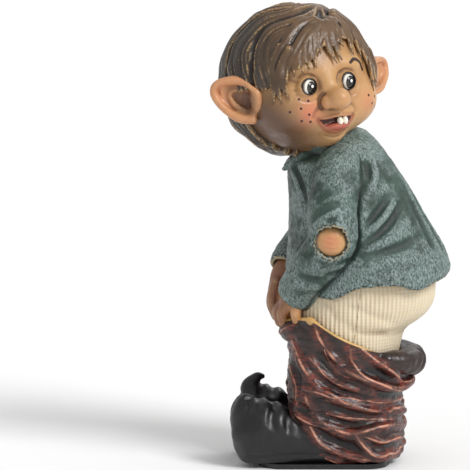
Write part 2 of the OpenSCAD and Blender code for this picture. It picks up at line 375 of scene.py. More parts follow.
            faces.append(np.where(leaving[:, None], quad, quad[:, ::-1]))
        return points, np.vstack(faces)


def make_mesh(name, points, faces, marks):
    """A smooth mesh in the row frame, with its float attributes."""
    mesh = bpy.data.meshes.new(name)
    mesh.vertices.add(len(points))
    mesh.vertices.foreach_set("co", (points * MM).astype(np.float32).ravel())
    mesh.loops.add(faces.size)
    mesh.loops.foreach_set("vertex_index", faces.astype(np.int32).ravel())
    mesh.polygons.add(len(faces))
    mesh.polygons.foreach_set("loop_start", (np.arange(len(faces)) * faces.shape[1]).astype(np.int32))
    mesh.polygons.foreach_set("loop_total", np.full(len(faces), faces.shape[1], np.int32))
    mesh.update(calc_edges=True)
    mesh.shade_smooth()
    for mark, values in marks.items():
        mesh.attributes.new(mark, "FLOAT", "POINT").data.foreach_set("value", np.asarray(values, np.float32))
    piece = bpy.data.objects.new(name, mesh)
    bpy.context.collection.objects.link(piece)
    return piece


def finish_piece(name, sculpt, material, node, paint=None, place=None, blurs=(0.5, 1.8), flip=False):
    """Turns a sculpt into a piece that stands for a CAD node. paint(points) gives further attributes."""
    points, faces = sculpt.skin()
    level = sculpt.sample(sculpt.field, points)
    marks = {
        mark: sculpt.sample(sculpt.blurred(width), points) - level
        for mark, width in zip(("ridge", "hollow"), blurs)
    }
    marks.update(paint(points) if paint else {})
    if place is not None:
        points = place(points)
    if flip:
        faces = faces[:, ::-1]
    dress(make_mesh(name, points, faces, marks), material, node)


def dress(piece, material, node):
    piece.data.materials.append(material)
    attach(piece, "root")
    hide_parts(node)


# ---- Paint ---------------------------------------------------------------------


def rgb(red, green, blue):
    """Linear colour from display values of 0 to 255, by the sRGB curve."""
    shares = [c / 255 for c in (red, green, blue)]
    return tuple(c / 12.92 if c <= 0.0393 else ((c + 0.055) / 1.055) ** 2.4 for c in shares) + (1,)


class Paint:
    """A node material built up in coats."""

    def __init__(self, name, colour, rough=0.55):
        self.material = bpy.data.materials.new(name)
        self.material.use_nodes = True
        self.tree = self.material.node_tree
        self.surface = self.tree.nodes["Principled BSDF"]
        self.surface.inputs["Roughness"].default_value = rough
        self.place = self.node("ShaderNodeTexCoord").outputs["Object"]
        self.colour = self.node("ShaderNodeRGB").outputs[0]
        self.colour.default_value = colour

    def node(self, kind, **settings):
        made = self.tree.nodes.new(kind)
        for key, value in settings.items():
            setattr(made, key, value)
        return made

    def put(self, socket, value):
        if isinstance(value, bpy.types.NodeSocket):
            self.tree.links.new(value, socket)
        else:
            socket.default_value = value

    def mark(self, name):
        return self.node("ShaderNodeAttribute", attribute_name=name).outputs["Fac"]

    def noise(self, size_mm, detail=4, stretch=(1, 1, 1), rough=0.55):
        scaled = self.node("ShaderNodeMapping")
        self.put(scaled.inputs["Vector"], self.place)
        scaled.inputs["Scale"].default_value = stretch
        made = self.node("ShaderNodeTexNoise")
        self.put(made.inputs["Vector"], scaled.outputs[0])
        made.inputs["Scale"].default_value = 1 / (size_mm * MM)
        made.inputs["Detail"].default_value = detail
        made.inputs["Roughness"].default_value = rough
        return made.outputs["Fac"]

    def math(self, kind, a, b=0.0, c=0.0):
        made = self.node("ShaderNodeMath", operation=kind)
        for socket, value in zip(made.inputs, (a, b, c)):
            self.put(socket, value)
        return made.outputs[0]

    def fade(self, value, start, end, low=0.0, high=1.0):
        made = self.node("ShaderNodeMapRange", interpolation_type="SMOOTHSTEP")
        sockets = {"Value": value, "From Min": start, "From Max": end, "To Min": low, "To Max": high}
        for key, number in sockets.items():
            self.put(made.inputs[key], number)
        return made.outputs[0]

    def coat(self, amount, colour):
        """Lays a colour over what is there, by an amount from 0 to 1."""
        made = self.node("ShaderNodeMix", data_type="RGBA")
        self.put(made.inputs["Factor"], amount)
        self.put(made.inputs[6], self.colour)
        self.put(made.inputs[7], colour)
        self.colour = made.outputs[2]
        return self

    def antique(self, wash, light, wash_at, light_at, wash_most, light_most):
        """Dark wash in the hollows, broken up by noise, and a dry-brushed light on the ridges."""
        patch = self.math("MULTIPLY_ADD", self.noise(2.2, 5), 0.16, -0.08)
        deep = self.fade(self.math("ADD", self.mark("hollow"), patch), *wash_at)
        self.coat(self.math("MULTIPLY", deep, wash_most), wash)
        raised = self.fade(self.mark("ridge"), *light_at)
        broken = self.fade(self.noise(0.7, 4), 0.35, 0.62)
        self.coat(self.math("MULTIPLY", self.math("MULTIPLY", raised, broken), light_most), light)
        return self

    def bump(self, height, distance_mm, strength=1.0):
        made = self.node("ShaderNodeBump")
        made.inputs["Strength"].default_value = strength
        made.inputs["Distance"].default_value = distance_mm * MM
        self.put(made.inputs["Height"], height)
        self.put(self.surface.inputs["Normal"], made.outputs[0])
        return self

    def gloss(self, value):
        self.put(self.surface.inputs["Roughness"], value)
        return self

    def done(self):
        self.put(self.surface.inputs["Base Color"], self.colour)
        return self.material


def skin_paint():
    p = Paint("skin_paint", rgb(194, 150, 100), 0.42)
    p.coat(p.fade(p.noise(7, 4), 0.38, 0.66, 0, 0.6), rgb(172, 126, 84))
    p.coat(p.math("MULTIPLY", p.mark("shade"), 0.92), rgb(84, 58, 44))
    p.coat(p.math("MULTIPLY", p.mark("blush"), 0.7), rgb(212, 118, 92))
    p.antique(rgb(84, 50, 28), rgb(226, 184, 134), (-0.06, -0.5), (0.03, 0.2), 0.85, 0.35)
    p.coat(p.math("MULTIPLY", p.mark("lip"), 0.8), rgb(150, 80, 56))
    p.coat(p.fade(p.mark("gape"), 0.25, -0.1), rgb(74, 30, 24))
    p.coat(p.fade(p.mark("tongue"), 0.0, 0.5), rgb(168, 88, 68))
    p.coat(p.fade(p.mark("lash"), 0.62, 0.36), rgb(30, 18, 12))
    p.coat(p.fade(p.mark("brow"), 0.75, 0.45), rgb(48, 28, 18))
    p.coat(p.fade(p.mark("freckle"), 0.62, 0.42), rgb(58, 26, 22))
    p.gloss(p.fade(p.noise(3, 3), 0.3, 0.7, 0.3, 0.48))
    return p.bump(p.noise(0.7, 5), 0.12, 0.5).done()


def hair_paint():
    p = Paint("hair_paint", rgb(104, 78, 52), 0.4)
    p.coat(p.fade(p.noise(7, 3), 0.35, 0.65, 0, 0.6), rgb(76, 56, 40))
    p.coat(p.math("MULTIPLY", p.mark("shade"), 0.92), rgb(50, 44, 39))
    p.antique(rgb(30, 19, 12), rgb(204, 164, 112), (0.0, -0.26), (0.05, 0.18), 0.92, 0.65)
    p.coat(p.fade(p.mark("ridge"), 0.26, 0.4, 0, 0.9), rgb(92, 68, 48))
    p.gloss(p.fade(p.noise(2, 3), 0.3, 0.7, 0.28, 0.46))
    return p.bump(p.noise(0.6, 5), 0.15, 0.5).done()


def tunic_paint():
    p = Paint("tunic_paint", rgb(48, 72, 62), 0.46)
    p.coat(p.fade(p.noise(9, 3), 0.42, 0.6, 0, 0.85), rgb(26, 48, 38))
    p.antique(rgb(12, 24, 18), rgb(150, 164, 158), (-0.05, -0.8), (0.08, 0.3), 0.9, 0.5)
    grain = p.fade(p.noise(0.9, 6, (1.4, 1.4, 0.75), 0.8), 0.38, 0.66)
    lit = p.fade(p.math("MULTIPLY_ADD", p.mark("hollow"), 0.5, p.noise(10, 4)), 0.44, 0.68, 0.1, 1)
    p.coat(p.math("MULTIPLY", p.math("MULTIPLY", grain, lit), 0.95), rgb(152, 168, 166))
    # Dark wash and painted contact shade where a sleeve meets the tunic, from the seam mark
    p.coat(p.fade(p.mark("seam"), 1.5, 0.1, 0, 0.75), rgb(10, 20, 16))
    worn = p.math("MULTIPLY", p.fade(p.mark("rim"), 1.7, 0.9), p.fade(p.noise(0.9, 3), 0.5, 0.58))
    p.coat(p.math("MULTIPLY", worn, 0.9), rgb(14, 18, 14))
    frayed = p.math("ADD", p.mark("rim"), p.math("MULTIPLY_ADD", p.noise(1.2, 3), 1.2, -0.6))
    p.coat(p.fade(frayed, 0.5, 0.2, 0, 0.8), rgb(176, 156, 116))
    p.gloss(p.fade(p.noise(2, 3), 0.3, 0.7, 0.36, 0.6))
    return p.bump(p.noise(0.55, 6, rough=0.7), 0.3, 0.8).done()


def drawers_paint():
    p = Paint("drawers_paint", rgb(228, 214, 186), 0.72)
    p.coat(p.fade(p.noise(8, 3), 0.35, 0.7, 0, 0.4), rgb(212, 194, 160))
    rib = p.math("SINE", p.math("MULTIPLY", p.mark("around"), TAU / 1.7))
    row = p.math("SINE", p.math("MULTIPLY", p.mark("level"), TAU / 1.2))
    knit = p.math("MULTIPLY_ADD", row, 0.16, rib)
    p.coat(p.fade(knit, 0.1, -1.2, 0, 0.25), rgb(170, 140, 104))
    p.antique(rgb(128, 94, 62), rgb(244, 234, 210), (-0.05, -0.6), (0.04, 0.2), 0.8, 0.3)
    p.coat(p.fade(p.mark("stitch"), 0.45, 0.2, 0, 0.8), rgb(132, 98, 66))
    return p.bump(knit, 0.2, 0.8).done()


def breeches_paint():
    p = Paint("breeches_paint", rgb(54, 39, 35), 0.4)
    p.coat(p.fade(p.noise(4, 4, (1, 1, 2)), 0.35, 0.65, 0, 0.8), rgb(28, 22, 21))
    uneven = p.math("MULTIPLY_ADD", p.noise(2, 4), 0.3, -0.15)
    p.coat(p.fade(p.math("ADD", p.mark("hollow"), uneven), 0.2, -0.2), rgb(20, 16, 16))
    streak = p.fade(p.noise(1.4, 5, (0.5, 0.5, 1.6), 0.75), 0.4, 0.6)
    patches = p.fade(p.noise(8, 3), 0.38, 0.6, 0.35, 1)
    red = p.math("MULTIPLY", p.fade(p.mark("crest"), 2.4, 0.5), p.math("MULTIPLY", streak, patches))
    p.coat(red, rgb(120, 56, 44))
    thin = p.fade(p.noise(5, 3), 0.4, 0.6, 0.15, 0.9)
    p.coat(p.math("MULTIPLY", p.fade(p.mark("crest"), 0.38, 0.08), thin), rgb(212, 150, 124))
    p.coat(p.fade(p.mark("rim"), 0.8, 0.4), rgb(206, 164, 100))
    p.gloss(p.fade(p.noise(2, 3), 0.3, 0.7, 0.26, 0.46))
    return p.bump(p.noise(0.7, 5), 0.2, 0.5).done()


def shoe_paint():
    p = Paint("shoe_paint", rgb(12, 12, 14), 0.3)
    p.coat(p.fade(p.noise(4, 4), 0.4, 0.75, 0, 0.5), rgb(30, 29, 29))
    p.antique(rgb(5, 5, 6), rgb(80, 78, 78), (0.0, -0.3), (0.05, 0.25), 0.7, 0.3)
    p.gloss(p.fade(p.noise(2.5, 3), 0.3, 0.7, 0.34, 0.52))
    p.surface.inputs["Coat Weight"].default_value = 0.1
    p.surface.inputs["Coat Roughness"].default_value = 0.25
    return p.bump(p.noise(1.6, 4), 0.25, 0.35).done()


def eye_paint():
    p = Paint("eye_paint", rgb(244, 240, 230), 0.25)
    edge = p.math("ADD", p.mark("off_axis"), p.math("MULTIPLY_ADD", p.noise(0.5, 3), 0.12, -0.06))
    p.coat(p.fade(edge, 2.9, 3.4, 0, 0.8), rgb(120, 84, 62))
    p.coat(p.fade(edge, 2.4, 2.2), rgb(20, 16, 13))
    p.coat(p.fade(edge, 2.0, 1.7), rgb(62, 58, 50))
    p.coat(p.fade(edge, 1.6, 1.3), rgb(6, 6, 7))
    p.coat(p.fade(p.mark("glint"), 0.6, 0.48), rgb(255, 255, 255))
    p.surface.inputs["Coat Weight"].default_value = 0.25
    return p.done()


def plain_paint(name, colour, darker, size_mm, rough, metal=0.0):
    p = Paint(name, colour, rough)
    p.coat(p.fade(p.noise(size_mm, 4), 0.35, 0.7, 0, 0.8), darker)
    p.surface.inputs["Metallic"].default_value = metal
    return p.bump(p.noise(size_mm / 3, 4), 0.1, 0.4).done()


# ---- The head's own frame ---------------------------------------------------------

EYE_SHIFT, EYE_OUT, EYE_RISE = -1.2, 23.9, -0.1  # between the eyes, from the middle of the head
HAIR_R = 28.8
SKULL_R = 25.6
NECK_SWELL = 1.3  # neck against the spigot inside it


class HeadFrame:
    """Head-local places: its middle at the origin, the face along -Y, x to the viewer's right."""

    def __init__(self):
        left, right = node_middle("eye_left"), node_middle("eye_right")
        across = unit(left - right)
        turn, tilt = math.asin(across[1]), math.atan2(across[2], across[0])
        self.spin = np.array(Matrix.Rotation(-tilt, 3, "Y") @ Matrix.Rotation(turn, 3, "Z"))
        self.eye_gap = np.linalg.norm(left - right) / 2
        self.middle = (left + right) / 2 - self.spin @ vec(EYE_SHIFT, -EYE_OUT, EYE_RISE)

    def out(self, points):
        return np.asarray(points) @ self.spin.T + self.middle

    def into(self, points):
        return (np.asarray(points) - self.middle) @ self.spin


head = HeadFrame()
EYE_R = (node_box("eye_left")[1] - node_box("eye_left")[0]).max() / 2
CORNEA = 0.035  # how far the cornea stands out, as a share of the radius
MOUTH = vec(1.2, -10.0)  # middle of the arc of the lower lip, in x and z
MOUTH_R = 7.0
LIP_R = 7.5
LIP_TOP = -12.7
FRECKLES = (
    (-11.7, -4.2), (-8.9, -5.2), (-11.3, -7.6), (-14.3, -8.4), (-8.9, -10.2), (-11.4, -12.2), (-8.6, -12.9),
    (13.6, -6.4), (16.2, -7.4), (15, -9.6), (17.2, -11),
)
NOSE_X = 0.7
EYE_HOLE = {-1: (2.7, 2.6), 1: (2.45, 2.8)}  # half width and half height between the eyelids
BROW = ((8.8, 6.4), (10.8, 7.3), (13, 6.3), (14.6, 4.4), (15.4, 2.8))


def mouth_distance(x, z):
    """Signed distance in x and z to the open smile, a half moon."""
    arch = LIP_TOP + 0.5 * np.cos((x - MOUTH[0]) / 4)
    return np.maximum(np.hypot(x - MOUTH[0], z - MOUTH[1]) - MOUTH_R, z - arch)


def sculpt_face():
    s = Sculpt((-28, -36, -34), (28, 28, 29), STEP["face"])
    s.join(ball((0, 0, 1), SKULL_R))
    s.join(ball((0, -4.6, -4), (24, 21.2, 19.6)), 5)
    low, high = node_box("neck_spigot")
    half = (high[1] - low[1]) / 2
    ends = [(low[0] + half, low[1] + half, high[2]), (high[0] - half, low[1] + half, low[2])]
    s.join(tube([(*end, half * NECK_SWELL) for end in head.into(ends)]), 3)
    s.join(ball((0.6, -17.5, -13), (9.5, 9.4, 7.6)), 4)
    s.join(ball((1, -15.6, -18.6), (6.6, 6.6, 4.8)), 3)
    for side in (-1, 1):
        s.join(ball((side * 13.2, -15, -8), (9.2, 9.2, 8.6)), 5)
        s.join(ball((side * 8, -20.4, 5.8), (6.5, 4.6, 3.2)), 3)
        s.carve(ball((EYE_SHIFT + side * head.eye_gap, -27.2, 0.2), (5.4, 3.4, 4.6)), 2.5)
    return s


def add_eyelids(s):
    for side in (-1, 1):
        x, y, z = EYE_SHIFT + side * head.eye_gap, -EYE_OUT, EYE_RISE
        s.join(ball((x, y, z), EYE_R + 0.75), 0.9)
        wide, tall = EYE_HOLE[side]

        def hole(px, py, pz):
            oval = (np.hypot((px - x) / wide, (pz - z) / tall) - 1) * tall
            return np.maximum(oval, py - (y - 0.6))

        s.carve((vec(x - 3, -34, z - 3), vec(x + 3, y, z + 3), hole), 0.3)
        s.crease([(x - 3.9, z + 2.9), (x, z + 4.3), (x + 3.9, z + 2.9)], -0.4, 0.8)
        s.crease([(x - 3.8, z - 3.2), (x, z - 4.3), (x + 3.6, z - 3.2)], 0.35, 1.4)
        s.crease([(x - 4.2, z - 4.3), (x, z - 5.5), (x + 4, z - 4.4)], -0.3, 1.0)
    for line in (((-12.7, -0.6), (-16.4, -1.2)), ((-12.6, 1.2), (-16, 3.4)), ((-12.8, -2.4), (-15.8, -4))):
        s.crease(line, -0.3, 0.7)


def add_nose(s):
    s.join(tube([(-0.4, -23.4, 3.2, 1.7), (-0.1, -25, -0.8, 2.0), (0.4, -27.2, -3.8, 2.7)]), 2.5)
    s.join(ball((NOSE_X, -28.9, -5.5), (4.3, 4.7, 4.1)), 1.0)
    for side in (-1, 1):
        s.join(ball((NOSE_X + side * 3.6, -27, -6.3), (2.3, 3, 2.5)), 0.6)
        wing = [(3.8, -2.8), (6.0, -4.6), (6.1, -7.6), (4.4, -9.4)]
        s.crease([(NOSE_X + side * x, z) for x, z in wing], -1.1, 1.1)
        s.carve(ball((NOSE_X + side * 2.0, -29.4, -9.4), (1.3, 1.6, 1.0)), 0.5)


def add_mouth(s):
    depth = -24.6  # how far back the mouth goes
    hole = lambda x, y, z: np.maximum(mouth_distance(x, z), y - depth)
    s.crease([(0.9, -10.2), (1.1, -11.8)], -0.4, 1.5)
    s.carve((vec(-7, -34, -19), vec(10, depth, -11), hole), 0.4)
    s.join(ball((1.4, -24.6, -15.7), (4.9, 2.6, 1.5)), 0.4)
    around = np.radians((-60, -35, 0, 35, 60))
    lower = [(MOUTH[0] + LIP_R * math.sin(a), MOUTH[1] - LIP_R * math.cos(a)) for a in around]
    s.crease(lower, 0.4, 1.1)
    s.crease([(-5.6, -12.6), (-1.4, -11.8), (1.2, -11.5), (4, -11.8), (8, -12.5)], 0.4, 1.0)
    s.crease([(-4.6, -17.4), (-1.6, -19.2), (1.4, -19.8), (4.6, -19.0), (7, -17)], -0.7, 1.2)
    for side in (-1, 1):
        corner = MOUTH[0] + side * (MOUTH_R - 0.1)
        s.crease([(corner, -11.6), (corner + side * 0.7, -13.6)], -0.8, 1.2)
        crease = [(6.2, -7.4), (8.2, -9.8), (8.9, -12.6)]
        s.crease([(0.8 + side * x, z) for x, z in crease], -0.45, 1.5)


def face_marks(p):
    """Painted features as distances, so that their edges stay sharp on the mesh."""
    x, y, z = p.T
    frontal = np.where(y < -6, 0, AFAR)
    lash = np.full(len(p), AFAR)
    for side in (-1, 1):
        from_eye = x - EYE_SHIFT - side * head.eye_gap
        wide, tall = EYE_HOLE[side]
        edge = np.abs(np.hypot(from_eye / (wide + 0.15), (z - EYE_RISE) / (tall + 0.15)) - 1) * tall
        lash = np.minimum(lash, edge + np.where(z > EYE_RISE, 0, 0.15))
    around, radius = np.arctan2(x, -y), np.hypot(x, y)
    freckle = np.full(len(p), AFAR)
    for fx, fz in FRECKLES:
        place = np.arcsin(np.clip(fx / 25, -1, 1))
        freckle = np.minimum(freckle, np.hypot((around - place) * radius, z - fz))
    brow = np.full(len(p), AFAR)
    for bx, bz in smooth_path(BROW):
        brow = np.minimum(brow, np.hypot(x - bx, z - bz))
    cheeks = [(-8.8, -9.4, 4.2, 1.0), (15.4, -8.8, 4.2, 0.5), (NOSE_X, -6, 3.2, 0.2)]
    blush = sum(most * np.exp(-(((x - cx) ** 2 + (z - cz) ** 2) / cr**2)) for cx, cz, cr, most in cheeks)
    gape = mouth_distance(x, z) + frontal
    lip = smooth_step(-np.abs(mouth_distance(x, z) - 0.6), -1.3, -0.5) * (frontal == 0)
    low_left, high_left = -x * 0.9 - z * 0.8, z - 0.5 * x
    return {
        "lash": lash + frontal,
        "freckle": freckle + frontal,
        "brow": brow + frontal,
        "blush": np.where(y < -6, blush, 0),
        "gape": gape + np.where(y < -25.9, 0.6, 0),
        "tongue": np.where(gape < -0.1, 1, 0) * smooth_step(-z, 14.3, 14.9),
        "lip": lip * np.where(z < LIP_TOP + 0.5, 1, 0.5),
        "shade": np.maximum(smooth_step(low_left, 11, 28), 0.5 * smooth_step(high_left, 6, 12)),
    }


def build_head(skin):
    s = sculpt_face()
    add_eyelids(s)
    add_nose(s)
    add_mouth(s)
    finish_piece("face", s, skin, "head_shell", face_marks, head.out)


# ---- Ears, eyes and teeth ---------------------------------------------------------

EAR_RIM = (
    (25.6, -12, 1.2), (26.6, -9, 2.6), (28.8, -6, 3.4), (32, -3, 3.2), (34, -1.2, 1.6), (34.5, -1.1, -1.2),
    (33.6, -3, -4.6), (31.1, -5.5, -8), (28.2, -8, -10), (24.8, -10.5, -10.8),
)
EAR_FRONT = (23.6, -12.2, -3.6), (2.3, 3.2, 4.6)  # skin between the ear's well and the face
EAR_ROOT = ((22.6, -14, -5.4), (24, -14, -1.4))  # the upper rim goes on to the sideburn
FAR_EAR = vec(1.05, 0.9, 0.76)  # the other ear is smaller, and sits higher
FAR_EAR_RISE = 0.8
RIM_R = (0.9, 1.2, 1.4, 1.5, 1.5, 1.4, 1.3, 1.4, 1.8, 1.7)


def bare_marks(p, blush, shade):
    """Marks of skin without painted features."""
    far, zero = np.full(len(p), AFAR), np.zeros(len(p))
    marks = {name: far for name in ("lash", "freckle", "brow", "gape")}
    return {**marks, "tongue": zero, "lip": zero, "blush": zero + blush, "shade": shade}


def hand_marks(p):
    return bare_marks(p, 0.2, smooth_step(-p[:, 0], 12.5, 18.5) * 0.85)


def build_ear(name, side, skin):
    """A cup with a rolled rim, an inner fold and a canal. Drawn on the +x side and mirrored."""
    rim = np.array(EAR_RIM)
    middle = rim.mean(0)
    axes = np.linalg.svd(rim - middle)[2]
    facing = axes[2] * -np.sign(axes[2][1])
    reach = (rim - middle) @ axes[:2].T
    spans = (reach.max(0) - reach.min(0)) / 2
    middle = middle + (reach.max(0) + reach.min(0)) / 2 @ axes[:2]
    s = Sculpt(rim.min(0) - 5, rim.max(0) + 5, STEP["ear"])
    back = middle - facing * 1.6
    s.join(ball(back, (spans[0] + 0.2, spans[1] + 0.2, 3.2), axes))
    s.join(ball((23.6, -7.4, -4.4), (3.6, 3.6, 5.4)), 2)
    s.carve(ball(middle + facing * 2.6, (spans[0] - 0.2, spans[1] - 0.2, 4.6), axes), 0.8)
    s.join(ball(*EAR_FRONT), 1.2)
    root = [(*spot, r) for spot, r in zip(EAR_ROOT, (0.6, 1.1))]
    s.join(tube(root + [tuple(row) for row in np.column_stack([rim, RIM_R])]), 1.0)
    well = vec(25.2, -9.6, -4.2)
    inner = well + (rim[1:9] - well) * 0.56 - facing * 0.9
    s.join(tube(np.column_stack([inner, np.linspace(0.5, 1.1, 8)])), 1.0)
    s.join(ball(well + vec(-1.2, -0.9, -1.6), (1.7, 1.5, 2.2)), 0.8)
    s.carve(ball(well + facing * 0.6, (1.7, 1.8, 2.6)), 0.8)

    def marks(p):
        from_well = np.linalg.norm(p - well, axis=1)
        facing_in = smooth_step((p - middle) @ facing, -2.0, 0.5)
        behind = (1 - facing_in) * (0.8 if side < 0 else 0.2)
        blush = 0.1 + facing_in * smooth_step(from_well, 3, 8) * 0.4
        return bare_marks(p, blush, np.maximum(smooth_step(-from_well, -7, -2.6), behind))

    def place(p):
        return head.out(p * FAR_EAR + vec(0, 0, FAR_EAR_RISE) if side > 0 else p * vec(-1, 1, 1))

    finish_piece(name + "_skin", s, skin, name, marks, place, (0.45, 1.5), side < 0)


def build_eye(name, material):
    """Eyeball with a raised cornea, painted about the way it looks."""
    middle = head.into(node_middle(name))
    rings, around = 40, 56
    points = []
    for i in range(1, rings):
        a = math.pi * i / rings
        swell = EYE_R * (1 + CORNEA * math.exp(-((a / 0.5) ** 2)))
        for j in range(around):
            b = TAU * j / around
            points.append((math.sin(a) * math.cos(b), -math.cos(a), math.sin(a) * math.sin(b)))
            points[-1] = tuple(swell * share for share in points[-1])
    starts = [(k * around, j, (j + 1) % around) for k in range(rings - 2) for j in range(around)]
    faces = np.array([(k + j, k + n, k + n + around, k + j + around) for k, j, n in starts])
    p = np.array(points)
    gaze, glint = vec(0.6, 0, -0.35), vec(0.75, 0, 0.1)
    off_axis = np.hypot((p[:, 0] - gaze[0]) * 1.15, p[:, 2] - gaze[2])
    off_glint = np.hypot(p[:, 0] - glint[0], p[:, 2] - glint[2])
    shown = p[:, 1] < 0
    marks = {"off_axis": np.where(shown, off_axis, AFAR), "glint": np.where(shown, off_glint, AFAR)}
    dress(make_mesh(name + "_ball", head.out(p + middle), faces, marks), material, name)


def build_teeth(material):
    middle = head.into(node_middle("front_teeth"))
    room = vec(4, 3, 3.5)
    s = Sculpt(middle - room, middle + room, STEP["teeth"])
    for side in (-1, 1):
        s.join(ball(middle + vec(side * 1.02, 0.1, 0.1), (1.05, 1.3, 1.55)), 0.15)
    finish_piece("teeth", s, material, "front_teeth", None, head.out)


# ---- Hair ---------------------------------------------------------------------------

CROWN = (8, -4, 25)
HAIR_EDGE = (
    (-29, -36), (-29, -10), (-28, -1.4), (-25, 0.4), (-21.6, -0.8), (-18, 0.6), (-15.6, 3.6), (-12, 6.2),
    (-8, 8.6), (-5, 10.4),
    (-1.6, 13.2), (1.4, 12.8), (5, 12.4), (8, 15), (11, 13.4), (15, 11.6), (17.6, 7), (19, 0), (20.2, -6),
    (23.5, -9), (29, -12), (29, -36),
)
# Locks that overlap the face, from root to tip, in x and z on the front of the head
LOCKS = (
    ((0, 22), (-7, 20), (-14, 14), (-18.6, 7), (-20.6, 0), (-21, -5.4)),
    ((-15, 14), (-18.6, 7.4), (-19.4, 1), (-18.8, -5.4)),
    ((-13, 13), (-16.6, 7.6), (-17.6, 2), (-16.6, -4.2)),
    ((1, 21), (-5, 18), (-11.6, 12), (-15.4, 7), (-17, 1.8)),
    ((1, 20), (-4, 17), (-9.6, 12), (-12.8, 8), (-13.8, 3.8)),
    ((-2, 20), (-6.6, 15), (-9.6, 10.4), (-11, 4.2)),
    ((-1, 20), (-5, 15.6), (-7.4, 11), (-8.6, 5.8)),
    ((0, 20), (-3.4, 16.4), (-5.2, 12), (-6, 6.0)),
    ((2, 20.4), (0, 17), (-2, 14.4), (-3.2, 10.8)),
    ((4, 20.4), (1.8, 17), (1, 13), (2.4, 6.8)),
    ((6, 20.8), (4.4, 17), (4, 13), (4.8, 7.6)),
    ((7, 21), (7, 18), (6.6, 15.4), (7.2, 12)),
    ((9.6, 21.6), (11.6, 18.4), (12, 14.4), (10.8, 8.6)),
    ((10.6, 22.4), (14.4, 18.6), (16, 13.6), (15, 6.8)),
    ((12, 22.6), (17, 17.6), (18.6, 11.6), (16.8, 2.8)),
    ((13, 22.6), (18, 16.4), (20, 9), (19.6, 2), (18.8, -5.6)),
    ((22, 8), (23.4, 2), (22.2, -3)),
)
LOCK_R = 2.6
COMB = ((13, 1.1, 1.0, 5), (37, 0.45, 0.6, 7), (101, 0.22, 0.4, 9))  # grooves: how many, depth, width, seed


def lock_rows(path):
    """Root to tip of a lock on the front of the head: it thins out and sinks on to the face."""
    rows = []
    for i, (x, z) in enumerate(path):
        t = i / (len(path) - 1)
        radius = LOCK_R * (1 - 0.9 * t**1.7) * (0.8 if t == 0 else 1)
        sink = 0.9 if z > 3 else -0.7
        out = HAIR_R + 0.5 - radius - sink * t
        flat = math.hypot(x, z)
        scale = min(1, out / (flat + 1e-6) * 0.985)
        x, z = x * scale, z * scale
        rows.append((x, -math.sqrt(max(out**2 - x * x - z * z, 0)), z, radius))
    return rows


def comb(s):
    """Grooves between locks and strands that run down from the crown."""
    crown = unit(vec(*CROWN))
    u = unit(np.cross(crown, vec(0, 1, 0)))
    v = np.cross(crown, u)

    def amount(p):
        d = p / np.linalg.norm(p, axis=1)[:, None]
        polar = np.arccos(np.clip(d @ crown, -1, 1))
        turn = np.arctan2(d @ v, d @ u) + 0.55 * np.sin(polar * 1.3) + 0.2 * lattice_noise(p, 19, 3)
        radius = np.linalg.norm(p, axis=1) * np.sin(polar)
        raised = 0
        for number, depth, width, seed in COMB:
            f = (turn + 1.1 / number * lattice_noise(p, 12, seed)) * number / TAU
            f = f - np.floor(f)
            gap = np.minimum(f, 1 - f) * TAU / number * np.maximum(radius, 1)
            raised = raised - depth * np.exp(-((gap / width) ** 2)) * smooth_step(radius, 1.5, 9)
        return raised

    s.shift(amount, reach=3)


def build_hair(material):
    s = Sculpt((-31, -31, -31), (31, 31, 31), STEP["hair"])
    s.join(ball((0, 0, 0), HAIR_R - 0.3))
    s.shift(lambda p: 0.8 * lattice_noise(p, 7, 11), reach=4)

    def opening(x, y, z):
        return np.maximum(outline_distance(x[:, 0, :], z[:, 0, :], HAIR_EDGE)[:, None, :], y + 5)

    s.carve((vec(-29, -31, -31), vec(29, -5, 20), opening), 0.8)
    comb(s)
    locks = [np.array(lock_rows(path)) for path in LOCKS]
    for rows in locks:
        s.join(tube(rows, 4), 0.12)
    for rows in locks:
        across = np.cross(rows[-1, :3] - rows[0, :3], rows[1, :3])
        for share in (-0.3, 0.34):
            middle, r = rows[1:, :3], rows[1:, 3:]
            strand = middle * (1 + r / HAIR_R) + unit(across) * r * share
            s.press(strand, -0.8, 0.8, fade=0.4)

    def marks(p):
        return {"shade": smooth_step(-p[:, 0] * 0.9 + p[:, 1] * 0.5, -2, 18)}

    finish_piece("hair", s, material, "hair_cap", marks, head.out)


# ---- Body castings --------------------------------------------------------------------


def sections(node, heights):
    """Height, front, back and half width of a CAD node where level planes cut it."""
    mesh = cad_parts[node].data
    co = np.empty(len(mesh.vertices) * 3)
    mesh.vertices.foreach_get("co", co)
    ends = np.empty(len(mesh.edges) * 2, np.int32)
    mesh.edges.foreach_get("vertices", ends)
    a, b = (co.reshape(-1, 3) / MM)[ends.reshape(-1, 2)].transpose(1, 0, 2)
    rows = []
    for height in heights:
        crossed = (a[:, 2] < height) != (b[:, 2] < height)
        t = (height - a[crossed, 2]) / (b[crossed, 2] - a[crossed, 2])
        p = a[crossed] + t[:, None] * (b[crossed] - a[crossed])
        rows.append((height, p[:, 0].min(), p[:, 0].max(), np.abs(p[:, 1]).max()))
    return np.array(rows)


def curve_at(x, points):
    """Height of a smooth curve through (x, z) points, at x."""
    path = smooth_path(points, 8)
    return np.interp(x, path[:, 0], path[:, 1])


def trim(s, height, above, blend=0.7):
    """Cuts away what is above or below height(x, y)."""
    sign = 1 if above else -1
    s.carve(everywhere(lambda x, y, z: -sign * (z - height(x, y))), blend)


